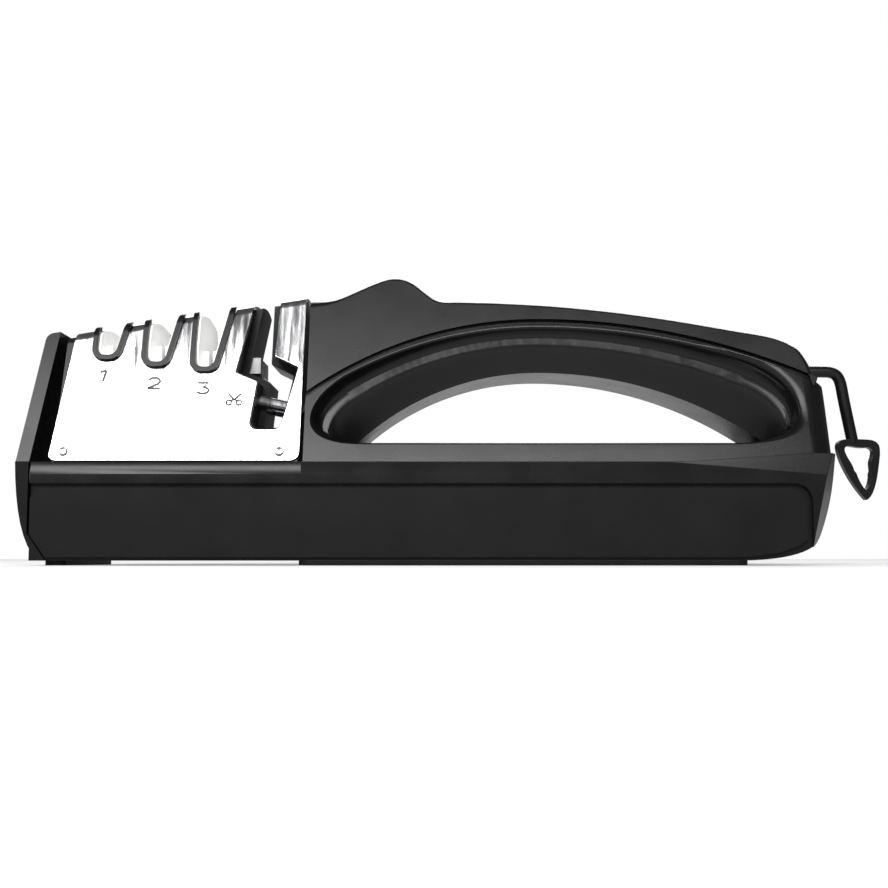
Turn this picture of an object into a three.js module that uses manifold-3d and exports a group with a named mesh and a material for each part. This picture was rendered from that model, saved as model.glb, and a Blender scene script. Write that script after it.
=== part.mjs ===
// Hand-held knife and scissors sharpener, in millimetres.
// +Z is up, the nose points along -X, and the origin is on the sole, midway along the body.
import * as THREE from 'three';
import { mergeVertices } from 'three/addons/utils/BufferGeometryUtils.js';
import Module from 'manifold-3d';

const wasm = await Module();
wasm.setup();

// Overall sizes
const BODY_LENGTH = 207;
const BODY_WIDTH = 50;
const WAIST_HEIGHT = 26;
const HEAD_LENGTH = 72;
const SIDE_LEAN = THREE.MathUtils.degToRad(17);

// Walls and clearances
const WALL = 2.5;
const GAP = 0.3;
const SEAM_GAP = 1.0;
const REACH = 200;
const JOIN = 1;
const LEAN_SHARE = 0.78;

// Sole
const SWEEP_LENGTH = 27;
const SWEEP_RISE = 6;
const SWEEP_LIFT = 0.3;
const SWEEP_HANDLES = [8, 1.2];
const REAR_EDGE_DROP = 3;
const MOUTH_CORNER = 4;
const PAD_CORNER = 3;
const FOOT_CORNER = 1.5;
const SOLE_THICKNESS = 0.9;
const SOLE_LENGTH = 113;
const SOLE_WIDTH = 48.4;
const FOOT_LENGTH = 5.2;
const FOOT_WIDTH = 44;
const FOOT_FROM_FRONT = 7;
const BASE_PLATE_THICKNESS = 2;
const SOLE_FROM_REAR = 23;

// Head: shoulder, roof and nose
const SHOULDER_STEP = 0.9;
const ROOF_FRONT_HEIGHT = 61.9;
const ROOF_SLOPE = 0.158;
const ROOF_CROWN_RADIUS = 42;
const PLATE_THICKNESS = 0.8;
const PLATE_FROM_FRONT = 7.5;
const NOSE_THICKNESS = 3.4;
const NOSE_LEAN_RUN = 3.6;
const NOSE_PROUD = 0.5;
const NOSE_TOE = 6.5;
const NOSE_TOP_DROP = 1;
const NOSE_TOP_ROUND = 2;
const NOSE_TOP_RISE = 0.8;
const NOSE_CURVE = [[2.2, 5], [0.4, 14]];

// Knife slots, measured back from the front of the body
const SLOT_WIDTH = 5.2;
const SLOT_RIM = 1.4;
const RIM_PROUD = 1.0;
const SLOT_FLARE = 0.2;
const SLOTS = [
  { name: 'carbide', fromFront: 19.7, floor: 54.6 },
  { name: 'diamond', fromFront: 32.7, floor: 52.7 },
  { name: 'ceramic', fromFront: 45.4, floor: 51.3 },
];
const HOLDER_WIDTH = 10.4;
const HOLDER_NOTCH_RISE = 5.4;
const SLIT_DEPTH = 1.5;
const SLIT_WIDTH = 1.1;
const ROD_RADIUS = 1.5;
const ROD_LENGTH = 18;
const ROD_TILT = THREE.MathUtils.degToRad(12);
const ROD_STAGGER = 3.2;
const ROD_OFFSET = 0.4;
const ROD_TOP_ABOVE_FLOOR = 3;
const BLADE_WIDTH = 4;
const BLADE_THICKNESS = 1.6;
const BLADE_LENGTH = 14;
const BLADE_OFFSET = 1.2;

// Scissors slot
const SCISSOR_FROM_FRONT = 62.3;
const SCISSOR_ROD_RADIUS = 1.5;
const SCISSOR_ROD_LENGTH = 13;
const SCISSOR_ROD_TILT = THREE.MathUtils.degToRad(12);
const SCISSOR_ROD_OFFSET = 2.6;
const SCISSOR_ROD_SIDE = 9;
const SCISSOR_ROD_HEIGHT = 42;
const GUIDE_OFFSET = -7.2;
const GUIDE_BOTTOM = 51;
const GUIDE_WIDTH = 3.4;
const GUIDE_HEIGHT = 4.2;
const GUIDE_DEPTH = 14;

// Corners of the scissors slot: offset from its middle, height, and which way each grows
const SCISSOR_CORNERS = [
  [-3.2, 34.6, -1, -1],
  [2.8, 34.6, 1, -1],
  [3.6, 36, 1, -1],
  [7.2, 51.2, 1, 1],
  [1, 54.2, 1, 1],
  [2, 78.7, 1, 0],
  [-2.8, 78.7, -1, 0],
  [-8.6, 50, -1, -1],
  [-2.8, 47.4, -1, -1],
  [-4.2, 36, -1, -1],
];

// Screws
const PLATE_SCREW_RADIUS = 1.25;
const PLATE_SCREW_SHANK = 0.75;
const PLATE_SCREW_CROWN_RADIUS = 1;
const PLATE_SCREW_EDGE = 0.45;
const PLATE_SCREW_CROWN = 0.7;
const PLATE_SCREW_FROM_FRONT = 3.9;
const PLATE_SCREW_FROM_REAR = 5;
const PLATE_SCREW_RISE = 2.6;
const PLATE_SCREW_LENGTH = 5;
const BASE_SCREW_RADIUS = 2.4;
const BASE_SCREW_SHANK = 1.2;
const BASE_SCREW_LENGTH = 8;
const BASE_SCREW_INSET = 3;
const BASE_SCREW_FROM_SOLE = 6;

// Grip
const GRIP_FRONT_HEIGHT = 72.2;
const BUMP_HEIGHT = 78.7;
const BUMP_PEAK_FROM_SEAM = 23.5;
const BUMP_END_FROM_SEAM = 35;
const GRIP_REAR_HEIGHT = 60.4;
const GRIP_REAR_TURN = 14;
const GRIP_REAR_RISE = 2.6;
const GRIP_REAR_EDGE = 41;
const GRIP_TURN_HANDLES = [52, 4.5];
const GRIP_FALL_HANDLES = [[36, 69.6], [24, 71.6]];
const GRIP_FALL_RISE = 0.3;
const BUMP_FRONT_FOOT = 6;
const BUMP_REAR_HANDLES = [4.5, 6];
const BUMP_FRONT_HANDLES = [7, 12];
const BUMP_FOOT_RISE = 0.5;
const GRIP_CROWN_DROP = 1.6;
const GRIP_CROWN_DEPTH = 16;
const COVER_APEX_HEIGHT = 64.8;
const COVER_FRONT_HEIGHT = 44.6;
const COVER_REAR_HEIGHT = 47.2;
const COVER_GAP = 0.8;
const COVER_WALL = 2.2;
const REAR_BLOCK = 14;

// Finger opening
const OPENING_FLOOR = 31;
const OPENING_FROM_SEAM = 11.5;
const OPENING_FROM_REAR = 13.5;
const OPENING_APEX_FROM_SEAM = 60.5;
const OPENING_APEX_HEIGHT = 50.7;
const RIDGE_HALF_WIDTH = 10;
const RIM_APEX_HEIGHT = 60.6;
const RIM_FRONT_FLARE = 9;
const RIM_REAR_FLARE = 5;
const RIM_END_RISE = 8;
const RIM_CHAMFER = 6;
const RIM_CHAMFER_DEPTH = 3.4;

// Side panels
const PANEL_THICKNESS = 1.2;
const PANEL_HEIGHT = 17.3;
const PANEL_BOTTOM = 2.1;
const PANEL_FROM_FRONT = 3.6;
const PANEL_FROM_REAR = 8.6;
const PANEL_CORNER = 4.5;
const PANEL_GROOVE = 0.9;

// Hanging hook
const HOOK_ROD_RADIUS = 1.6;
const HOOK_THICKNESS = 3.2;
const HOOK_EYE_RADIUS = 3.1;
const HOOK_PIN_RADIUS = 1.1;
const HOOK_PIN_LENGTH = 11;
const HOOK_PIVOT_FROM_REAR = 3.6;
const HOOK_PIVOT_HEIGHT = 52.6;
const HOOK_REACH = 11.6;
const HOOK_DROP = 20;
const HOOK_ARM_LEAN = 3.2;
const HOOK_SLOT_WIDTH = 4.2;
const HOOK_SHANK_DROP = 0.9;
const HOOK_BEND_BEFORE = [-2.6, -0.7];
const HOOK_BEND_AFTER = [0.4, -3.6];
const LOOP_WIDTH = 11.6;
const LOOP_HEIGHT = 15.2;
const LOOP_BAND = 2.3;
const LOOP_OFFSET = 1.8;
const LOOP_SHOULDER = 3;
const LOOP_BACK_SHOULDER = 2.4;
const LOOP_BACK_DROP = 5;
const LOOP_FRONT_DROP = 8;
const LOOP_POINT_GROWTH = 1.4;
const LOOP_POINT_OFFSET = 1.8;

// Places worked out from the sizes above
const FRONT_X = -BODY_LENGTH / 2;
const REAR_X = BODY_LENGTH / 2;
const SEAM_X = FRONT_X + HEAD_LENGTH;
const HALF_WIDTH = BODY_WIDTH / 2;
const SHOULDER_HALF = HALF_WIDTH - SHOULDER_STEP;
const BODY_BOTTOM = SOLE_THICKNESS + GAP;
const DECK_HEIGHT = WAIST_HEIGHT - SHOULDER_STEP;
const PLATE_FRONT_X = FRONT_X + PLATE_FROM_FRONT;
const HEAD_REAR_X = SEAM_X - SEAM_GAP;
const APEX_X = SEAM_X + OPENING_APEX_FROM_SEAM;
const PIVOT_X = REAR_X - HOOK_PIVOT_FROM_REAR;
const MODULE_SKIRT_HALF = SHOULDER_HALF - 3 * WALL;
const SOLE_FRONT_X = REAR_X - SOLE_FROM_REAR - SOLE_LENGTH;
const SCISSOR_X = FRONT_X + SCISSOR_FROM_FRONT;
const ABOVE_ALL = BUMP_HEIGHT + 10;
const HOLDER_HIGHEST = roofHeight(FRONT_X + SLOTS[2].fromFront) - PLATE_THICKNESS - 2 * GAP - WALL;
const MODULE_INSET = (PLATE_THICKNESS + GAP + WALL) / Math.cos(SIDE_LEAN);
const HOLDER_DEPTH = 2 * (sideHalf(HOLDER_HIGHEST) - MODULE_INSET - GAP);

// Turns a closed three.js geometry into a solid.
function solid(geometry) {
  const bare = geometry.clone();
  bare.deleteAttribute('normal');
  bare.deleteAttribute('uv');
  const merged = mergeVertices(bare, 1e-4);
  const vertProperties = new Float32Array(merged.attributes.position.array);
  const corners = merged.index.array;
  const kept = [];
  for (let i = 0; i < corners.length; i += 3) {
    const [a, b, c] = [corners[i], corners[i + 1], corners[i + 2]];
    if (a !== b && b !== c && c !== a) {
      kept.push(a, b, c);
    }
  }
  const triVerts = new Uint32Array(kept);
  return new wasm.Manifold(new wasm.Mesh({ numProp: 3, vertProperties, triVerts }));
}

// Turns a solid back into a three.js geometry.
function surface(body) {
  const mesh = body.getMesh();
  const geometry = new THREE.BufferGeometry();
  geometry.setAttribute('position', new THREE.BufferAttribute(new Float32Array(mesh.vertProperties), 3));
  geometry.setIndex(new THREE.BufferAttribute(new Uint32Array(mesh.triVerts), 1));
  geometry.computeVertexNormals();
  return geometry;
}

const TO_XZ = new THREE.Matrix4().makeRotationX(Math.PI / 2);
const TO_YZ = new THREE.Matrix4().makeBasis(
  new THREE.Vector3(0, 1, 0),
  new THREE.Vector3(0, 0, 1),
  new THREE.Vector3(1, 0, 0),
);

// An outline drawn in X and Z, made solid from y0 to y1.
function alongY(shape, y0, y1, options = {}) {
  const settings = { depth: y1 - y0, bevelEnabled: false, curveSegments: 8, ...options };
  const geometry = new THREE.ExtrudeGeometry(shape, settings);
  geometry.applyMatrix4(TO_XZ);
  geometry.translate(0, y1, 0);
  return solid(geometry);
}

// An outline drawn in Y and Z, made solid from x0 to x1.
function alongX(shape, x0, x1, options = {}) {
  const settings = { depth: x1 - x0, bevelEnabled: false, curveSegments: 8, ...options };
  const geometry = new THREE.ExtrudeGeometry(shape, settings);
  geometry.applyMatrix4(TO_YZ);
  geometry.translate(x0, 0, 0);
  return solid(geometry);
}

// An outline drawn in X and Y, made solid from z0 to z1.
function alongZ(shape, z0, z1, options = {}) {
  const settings = { depth: z1 - z0, bevelEnabled: false, curveSegments: 8, ...options };
  const geometry = new THREE.ExtrudeGeometry(shape, settings);
  geometry.translate(0, 0, z0);
  return solid(geometry);
}

function block(x0, x1, y0, y1, z0, z1) {
  const geometry = new THREE.BoxGeometry(x1 - x0, y1 - y0, z1 - z0);
  geometry.translate((x0 + x1) / 2, (y0 + y1) / 2, (z0 + z1) / 2);
  return solid(geometry);
}

function polygon(points) {
  return new THREE.Shape(points.map(([a, b]) => new THREE.Vector2(a, b)));
}

function roundedBox(x0, x1, z0, z1, radius) {
  const shape = new THREE.Shape();
  shape.moveTo(x0 + radius, z0);
  shape.lineTo(x1 - radius, z0);
  shape.absarc(x1 - radius, z0 + radius, radius, -Math.PI / 2, 0);
  shape.lineTo(x1, z1 - radius);
  shape.absarc(x1 - radius, z1 - radius, radius, 0, Math.PI / 2);
  shape.lineTo(x0 + radius, z1);
  shape.absarc(x0 + radius, z1 - radius, radius, Math.PI / 2, Math.PI);
  shape.lineTo(x0, z0 + radius);
  shape.absarc(x0 + radius, z0 + radius, radius, Math.PI, 1.5 * Math.PI);
  return shape;
}

// Half width of the leaning side faces at a height.
function sideHalf(height) {
  return SHOULDER_HALF - (height - WAIST_HEIGHT) * Math.tan(SIDE_LEAN);
}

// Crown height of the head's roof at a place along the body.
function roofHeight(x) {
  return ROOF_FRONT_HEIGHT + ROOF_SLOPE * (x - PLATE_FRONT_X);
}

// Everything between the two leaning side faces, each moved inwards by inset, closed before they meet.
function betweenSides(inset) {
  const shift = inset / Math.cos(SIDE_LEAN);
  const top = WAIST_HEIGHT + LEAN_SHARE * SHOULDER_HALF / Math.tan(SIDE_LEAN);
  const bottom = -WAIST_HEIGHT;
  const low = sideHalf(bottom) - shift;
  const high = sideHalf(top) - shift;
  return alongX(polygon([[-low, bottom], [low, bottom], [high, top], [-high, top]]), -REACH, REACH);
}

// Everything under the sloping crowned roof, lowered by inset.
function underRoof(inset) {
  const shape = new THREE.Shape();
  const half = HALF_WIDTH;
  const start = Math.asin(half / ROOF_CROWN_RADIUS);
  const crown = ROOF_FRONT_HEIGHT - inset;
  shape.moveTo(-half, -WAIST_HEIGHT);
  shape.lineTo(half, -WAIST_HEIGHT);
  shape.absarc(0, crown - ROOF_CROWN_RADIUS, ROOF_CROWN_RADIUS, Math.PI / 2 - start, Math.PI / 2 + start);
  const settings = { depth: BODY_LENGTH, bevelEnabled: false, curveSegments: 14 };
  const geometry = new THREE.ExtrudeGeometry(shape, settings);
  geometry.applyMatrix4(TO_YZ);
  geometry.translate(FRONT_X, 0, 0);
  const slope = new THREE.Matrix4().set(
    1, 0, 0, 0,
    0, 1, 0, 0,
    ROOF_SLOPE, 0, 1, -ROOF_SLOPE * PLATE_FRONT_X,
    0, 0, 0, 1,
  );
  geometry.applyMatrix4(slope);
  return solid(geometry);
}

// The head's outer form between two places along the body, moved inwards by inset.
function headForm(x0, x1, z0, inset) {
  return betweenSides(inset)
    .intersect(underRoof(inset))
    .intersect(block(x0, x1, -REACH, REACH, z0, REACH));
}

// Side outline of the low base: a sloped nose end, a flat sole and a swept-up rear.
function baseOutline(inset) {
  const front = FRONT_X + inset;
  const rear = REAR_X - inset;
  const bottom = BODY_BOTTOM + inset;
  const shape = new THREE.Shape();
  shape.moveTo(front + NOSE_TOE, bottom);
  shape.lineTo(REAR_X - SWEEP_LENGTH + 1, bottom);
  const edge = WAIST_HEIGHT - REAR_EDGE_DROP;
  const [low, high] = SWEEP_HANDLES;
  shape.bezierCurveTo(rear - low, bottom + SWEEP_LIFT, rear - high, bottom + SWEEP_RISE, rear, edge);
  shape.lineTo(rear, WAIST_HEIGHT);
  shape.lineTo(front, WAIST_HEIGHT);
  const [lower, upper] = NOSE_CURVE;
  shape.bezierCurveTo(front + upper[0], upper[1], front + lower[0], lower[1], front + NOSE_TOE, bottom);
  return shape;
}

// Side outline of the grip, from the seam behind the head to the rear end.
function gripOutline() {
  const peakX = SEAM_X + BUMP_PEAK_FROM_SEAM;
  const endX = SEAM_X + BUMP_END_FROM_SEAM;
  const shape = new THREE.Shape();
  shape.moveTo(SEAM_X - GRIP_CROWN_DEPTH, -WAIST_HEIGHT);
  shape.lineTo(REAR_X, -WAIST_HEIGHT);
  shape.lineTo(REAR_X, GRIP_REAR_EDGE);
  // The rear end turns over into the long fall of the back
  const turnX = REAR_X - GRIP_REAR_TURN;
  const turnZ = GRIP_REAR_HEIGHT + GRIP_REAR_RISE;
  const [turnHigh, turnIn] = GRIP_TURN_HANDLES;
  shape.bezierCurveTo(REAR_X, turnHigh, REAR_X - turnIn, GRIP_REAR_HEIGHT, turnX, turnZ);
  const [[rearRun, rearZ], [frontRun, frontZ]] = GRIP_FALL_HANDLES;
  const endZ = GRIP_FRONT_HEIGHT + GRIP_FALL_RISE;
  shape.bezierCurveTo(turnX - rearRun, rearZ, endX + frontRun, frontZ, endX, endZ);
  // The thumb bump, from its rear foot over its peak to its front foot
  const footZ = GRIP_FRONT_HEIGHT + BUMP_FOOT_RISE;
  const [lowRear, highRear] = BUMP_REAR_HANDLES;
  shape.bezierCurveTo(endX - lowRear, footZ, peakX + highRear, BUMP_HEIGHT, peakX, BUMP_HEIGHT);
  const [highFront, lowFront] = BUMP_FRONT_HANDLES;
  const footX = SEAM_X + BUMP_FRONT_FOOT;
  shape.bezierCurveTo(peakX - highFront, BUMP_HEIGHT, peakX - lowFront, footZ, footX, GRIP_FRONT_HEIGHT);
  shape.lineTo(SEAM_X - GRIP_CROWN_DEPTH, GRIP_FRONT_HEIGHT);
  return shape;
}

// The grip's outer form, moved inwards by inset, crowned across its width.
function gripForm(inset) {
  const half = SHOULDER_HALF - GRIP_CROWN_DEPTH;
  const crowned = {
    bevelEnabled: true,
    bevelThickness: GRIP_CROWN_DEPTH,
    bevelSize: GRIP_CROWN_DROP,
    bevelOffset: -GRIP_CROWN_DROP - inset,
    bevelSegments: 5,
  };
  return alongY(gripOutline(), -half, half, crowned)
    .intersect(betweenSides(inset))
    .intersect(block(SEAM_X + inset, REACH, -REACH, REACH, DECK_HEIGHT, REACH));
}

// Radius of an arc that falls by drop over a run from its crown.
function arcRadius(run, drop) {
  return (run * run + drop * drop) / (2 * drop);
}

// Two arcs that meet at a crown and run down to the left and right ends, closed along z = floor.
function archShape(frontX, rearX, apexX, apexHeight, frontHeight, rearHeight, floor) {
  const frontRadius = arcRadius(apexX - frontX, apexHeight - frontHeight);
  const rearRadius = arcRadius(rearX - apexX, apexHeight - rearHeight);
  const frontAngle = Math.asin((apexX - frontX) / frontRadius);
  const rearAngle = Math.asin((rearX - apexX) / rearRadius);
  const shape = new THREE.Shape();
  shape.moveTo(frontX, floor);
  shape.lineTo(rearX, floor);
  shape.absarc(apexX, apexHeight - rearRadius, rearRadius, Math.PI / 2 - rearAngle, Math.PI / 2);
  shape.absarc(apexX, apexHeight - frontRadius, frontRadius, Math.PI / 2, Math.PI / 2 + frontAngle);
  return shape;
}

// Everything under the parting line of the grip cover, raised by lift.
function underCover(lift) {
  const shape = archShape(
    SEAM_X - 1,
    REAR_X + 1,
    APEX_X,
    COVER_APEX_HEIGHT + lift,
    COVER_FRONT_HEIGHT + lift,
    COVER_REAR_HEIGHT + lift,
    -REACH,
  );
  return alongY(shape, -REACH, REACH, { curveSegments: 14 });
}

// The finger opening: a straight ridge outline with a flared mouth on each side, grown by extra.
function openingForm(extra) {
  const frontX = SEAM_X + OPENING_FROM_SEAM;
  const rearX = REAR_X - OPENING_FROM_REAR;
  const ridge = archShape(
    frontX - extra,
    rearX + extra,
    APEX_X,
    OPENING_APEX_HEIGHT + extra,
    OPENING_FLOOR,
    OPENING_FLOOR,
    OPENING_FLOOR - extra,
  );
  const rim = archShape(
    frontX - RIM_FRONT_FLARE - extra,
    rearX + RIM_REAR_FLARE + extra,
    APEX_X,
    RIM_APEX_HEIGHT + extra,
    OPENING_FLOOR + RIM_END_RISE,
    OPENING_FLOOR + RIM_END_RISE,
    OPENING_FLOOR - RIM_CHAMFER,
  );
  const mouth = {
    bevelEnabled: true,
    bevelThickness: RIM_CHAMFER_DEPTH,
    bevelSize: RIM_CHAMFER,
    bevelOffset: -RIM_CHAMFER,
    bevelSegments: 1,
    curveSegments: 5,
  };
  const inner = RIDGE_HALF_WIDTH - extra + RIM_CHAMFER_DEPTH;
  const outer = HALF_WIDTH + RIM_CHAMFER_DEPTH;
  const above = block(-REACH, REACH, -REACH, REACH, OPENING_FLOOR - extra, REACH);
  return alongY(ridge, -REACH, REACH, { curveSegments: 12 })
    .add(alongY(rim, inner, outer, mouth).intersect(above))
    .add(alongY(rim, -outer, -inner, mouth).intersect(above));
}

// Outline of one knife slot in X and Z; it widens upwards on its rear side.
function slotShape(slot, extra) {
  const centre = FRONT_X + slot.fromFront;
  const low = slot.floor - extra;
  const high = ABOVE_ALL;
  const left = centre - SLOT_WIDTH / 2 - extra;
  const right = centre + SLOT_WIDTH / 2 + extra;
  const round = 1 + extra / 2;
  const shape = new THREE.Shape();
  shape.moveTo(left + round, low);
  shape.lineTo(right - round, low);
  shape.quadraticCurveTo(right, low, right, low + round);
  shape.lineTo(right + SLOT_FLARE * (high - low), high);
  shape.lineTo(left, high);
  shape.lineTo(left, low + round);
  shape.quadraticCurveTo(left, low, left + round, low);
  return shape;
}

// Outline of the scissors slot: a slanted upper channel that steps back into a lower one.
function scissorShape(extra) {
  const corners = SCISSOR_CORNERS.map(([x, z, growX, growZ]) => {
    return [SCISSOR_X + x + growX * extra, z + growZ * extra];
  });
  return polygon(corners);
}

// The housing: a hollow base and the arched grip frame, with a well for the slot module and side recesses.
function makeHousing() {
  const edge = { bevelEnabled: true, bevelThickness: SHOULDER_STEP, bevelSize: SHOULDER_STEP };
  const rounded = { ...edge, bevelOffset: -SHOULDER_STEP, bevelSegments: 2 };
  const base = alongY(baseOutline(0), -HALF_WIDTH + SHOULDER_STEP, HALF_WIDTH - SHOULDER_STEP, rounded)
    .subtract(block(-REACH, SEAM_X, -REACH, REACH, DECK_HEIGHT, REACH));
  const grip = gripForm(0).intersect(underCover(-COVER_GAP)).subtract(openingForm(0));
  const baseCavity = block(-REACH, SEAM_X, -REACH, REACH, -REACH, DECK_HEIGHT - WALL)
    .add(block(SEAM_X - 1, REACH, -REACH, REACH, -REACH, OPENING_FLOOR - WALL));
  const inside = alongY(baseOutline(WALL), -HALF_WIDTH + 2 * WALL, HALF_WIDTH - 2 * WALL)
    .intersect(baseCavity)
    .add(baseMouth(0));
  const gripCavity = gripForm(WALL)
    .intersect(block(SEAM_X + WALL, REAR_X - REAR_BLOCK, -REACH, REACH, 0, REACH))
    .subtract(openingForm(WALL));
  const well = block(
    PLATE_FRONT_X - GAP,
    HEAD_REAR_X - 2 * WALL + GAP,
    -MODULE_SKIRT_HALF - GAP,
    MODULE_SKIRT_HALF + GAP,
    DECK_HEIGHT - 2 * WALL,
    REACH,
  );
  let housing = base
    .add(grip)
    .subtract(inside)
    .subtract(gripCavity)
    .subtract(well)
    .intersect(behindNose(GAP));
  for (const side of [-1, 1]) {
    housing = housing.subtract(panelSolid(side, PANEL_GROOVE, GAP));
  }
  return housing;
}

// The opening in the bottom of the base, which the base plate closes; clearance shrinks it.
function baseMouth(clearance) {
  const mouth = roundedBox(
    FRONT_X + NOSE_TOE + 2 * NOSE_THICKNESS + clearance,
    REAR_X - SWEEP_LENGTH - clearance,
    -HALF_WIDTH + 2 * WALL + clearance,
    HALF_WIDTH - 2 * WALL - clearance,
    MOUTH_CORNER,
  );
  return alongZ(mouth, -1, DECK_HEIGHT - 2 * WALL, { curveSegments: 4 });
}

// A side panel's solid on one side, or with clearances the recess that holds it.
function panelSolid(side, groove, clearance) {
  const shape = roundedBox(
    FRONT_X + PANEL_FROM_FRONT - clearance,
    REAR_X - PANEL_FROM_REAR + clearance,
    PANEL_BOTTOM - clearance,
    PANEL_BOTTOM + PANEL_HEIGHT + groove,
    PANEL_CORNER,
  );
  const inner = HALF_WIDTH - PANEL_THICKNESS - clearance;
  const outer = clearance > 0 ? HALF_WIDTH + 1 : HALF_WIDTH - 0.1;
  const [y0, y1] = side < 0 ? [-outer, -inner] : [inner, outer];
  const margin = PANEL_BOTTOM - BODY_BOTTOM - clearance;
  const panel = alongY(shape, y0, y1, { curveSegments: 5 })
    .intersect(alongY(baseOutline(margin), -REACH, REACH));
  return clearance > 0 ? panel : panel.intersect(behindNose(2 * GAP));
}

// The cap over the front end: a sloped plate a little proud of the head behind it.
function makeNoseCap() {
  const topX = FRONT_X + NOSE_LEAN_RUN;
  const topZ = roofHeight(topX) + NOSE_PROUD - NOSE_TOP_DROP;
  const shape = new THREE.Shape();
  shape.moveTo(FRONT_X + NOSE_TOE, BODY_BOTTOM);
  const [lower, upper] = NOSE_CURVE;
  shape.bezierCurveTo(FRONT_X + lower[0], lower[1], FRONT_X + upper[0], upper[1], FRONT_X, WAIST_HEIGHT);
  shape.lineTo(topX - 0.3, topZ - NOSE_TOP_ROUND);
  shape.quadraticCurveTo(topX, topZ - 0.2, topX + NOSE_TOP_ROUND, topZ);
  shape.lineTo(topX + PLATE_FROM_FRONT, topZ + NOSE_TOP_RISE);
  shape.lineTo(topX + PLATE_FROM_FRONT, BODY_BOTTOM);
  const low = alongY(shape, -HALF_WIDTH, HALF_WIDTH)
    .intersect(block(-REACH, REACH, -REACH, REACH, -REACH, WAIST_HEIGHT));
  const high = alongY(shape, -HALF_WIDTH, HALF_WIDTH)
    .intersect(betweenSides(-NOSE_PROUD))
    .intersect(block(-REACH, REACH, -REACH, REACH, WAIST_HEIGHT - 0.5, REACH));
  return low.add(high).subtract(behindNose(0));
}

// Everything behind the nose cap, set back by extra.
function behindNose(extra) {
  const lean = NOSE_LEAN_RUN / (ROOF_FRONT_HEIGHT - WAIST_HEIGHT);
  const edgeX = FRONT_X + NOSE_THICKNESS + extra;
  const footX = FRONT_X + NOSE_TOE + NOSE_THICKNESS / 2 + extra;
  const high = ABOVE_ALL;
  const shape = polygon([
    [footX, -REACH],
    [REACH, -REACH],
    [REACH, high],
    [edgeX + (high - WAIST_HEIGHT) * lean, high],
    [edgeX, WAIST_HEIGHT],
    [edgeX, BODY_BOTTOM + 2 * NOSE_THICKNESS],
    [footX, BODY_BOTTOM],
  ]);
  return alongY(shape, -REACH, REACH);
}

// The slot module under the cover plate, hollow from below, with a raised rim round each slot.
function makeModule() {
  const core = headForm(FRONT_X, HEAD_REAR_X, DECK_HEIGHT + GAP, PLATE_THICKNESS + GAP);
  const skirt = block(
    PLATE_FRONT_X,
    HEAD_REAR_X - 2 * WALL,
    -MODULE_SKIRT_HALF,
    MODULE_SKIRT_HALF,
    DECK_HEIGHT - 2 * WALL,
    DECK_HEIGHT + WALL,
  );
  const proud = headForm(FRONT_X, HEAD_REAR_X, WAIST_HEIGHT, -RIM_PROUD);
  const inside = MODULE_SKIRT_HALF - WALL;
  const hollow = headForm(PLATE_FRONT_X + WALL, HEAD_REAR_X - 3 * WALL, 0, PLATE_THICKNESS + GAP + WALL)
    .intersect(block(-REACH, REACH, -inside, inside, 0, REACH));
  let body = core.add(skirt);
  for (const slot of SLOTS) {
    body = body.add(alongY(slotShape(slot, SLOT_RIM), -REACH, REACH).intersect(proud));
  }
  body = body.subtract(hollow);
  for (const slot of SLOTS) {
    body = body.subtract(alongY(slotShape(slot, 0), -REACH, REACH));
  }
  body = body.subtract(alongY(scissorShape(0), -REACH, REACH));
  for (const place of plateScrewPlaces()) {
    body = body.subtract(sideRod(place, PLATE_SCREW_SHANK + GAP, -PLATE_SCREW_LENGTH - 1, WALL));
  }
  for (const side of [-1, 1]) {
    body = body.subtract(scissorRod(GAP, side));
  }
  return body.intersect(behindNose(GAP));
}

// The floor plate in the module's skirt, which the slot holders stand on.
function makeModuleFloor() {
  const half = MODULE_SKIRT_HALF - WALL - GAP;
  const x0 = PLATE_FRONT_X + WALL + GAP;
  const x1 = HEAD_REAR_X - 3 * WALL - GAP;
  return block(x0, x1, -half, half, DECK_HEIGHT - GAP - WALL, DECK_HEIGHT - GAP);
}

// The bent stainless plate over the head, cut away round the slots.
function makeCoverPlate() {
  const outer = headForm(FRONT_X, HEAD_REAR_X, WAIST_HEIGHT, 0);
  const inner = headForm(-REACH, REACH, 0, PLATE_THICKNESS);
  let plate = outer.subtract(inner).intersect(behindNose(PLATE_FROM_FRONT - NOSE_THICKNESS));
  for (const slot of SLOTS) {
    plate = plate.subtract(alongY(slotShape(slot, SLOT_RIM + GAP), -REACH, REACH));
  }
  plate = plate.subtract(alongY(scissorShape(GAP), -REACH, REACH));
  for (const screw of plateScrewPlaces()) {
    plate = plate.subtract(sideRod(screw, PLATE_SCREW_SHANK + GAP, -WALL, WALL));
  }
  return plate;
}

// Centres of the cover plate's screws, two on each side.
function plateScrewPlaces() {
  const places = [];
  for (const side of [-1, 1]) {
    for (const x of [PLATE_FRONT_X + PLATE_SCREW_FROM_FRONT, HEAD_REAR_X - PLATE_SCREW_FROM_REAR]) {
      places.push({ side, x, z: WAIST_HEIGHT + PLATE_SCREW_RISE });
    }
  }
  return places;
}

// A round rod square to the leaning side face at a place, from one depth to another.
function sideRod({ side, x, z }, radius, from, to) {
  const geometry = new THREE.CylinderGeometry(radius, radius, to - from, 14);
  geometry.translate(0, (from + to) / 2, 0);
  geometry.rotateX(side > 0 ? SIDE_LEAN : Math.PI - SIDE_LEAN);
  geometry.translate(x, side * sideHalf(z), z);
  return solid(geometry);
}

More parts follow.
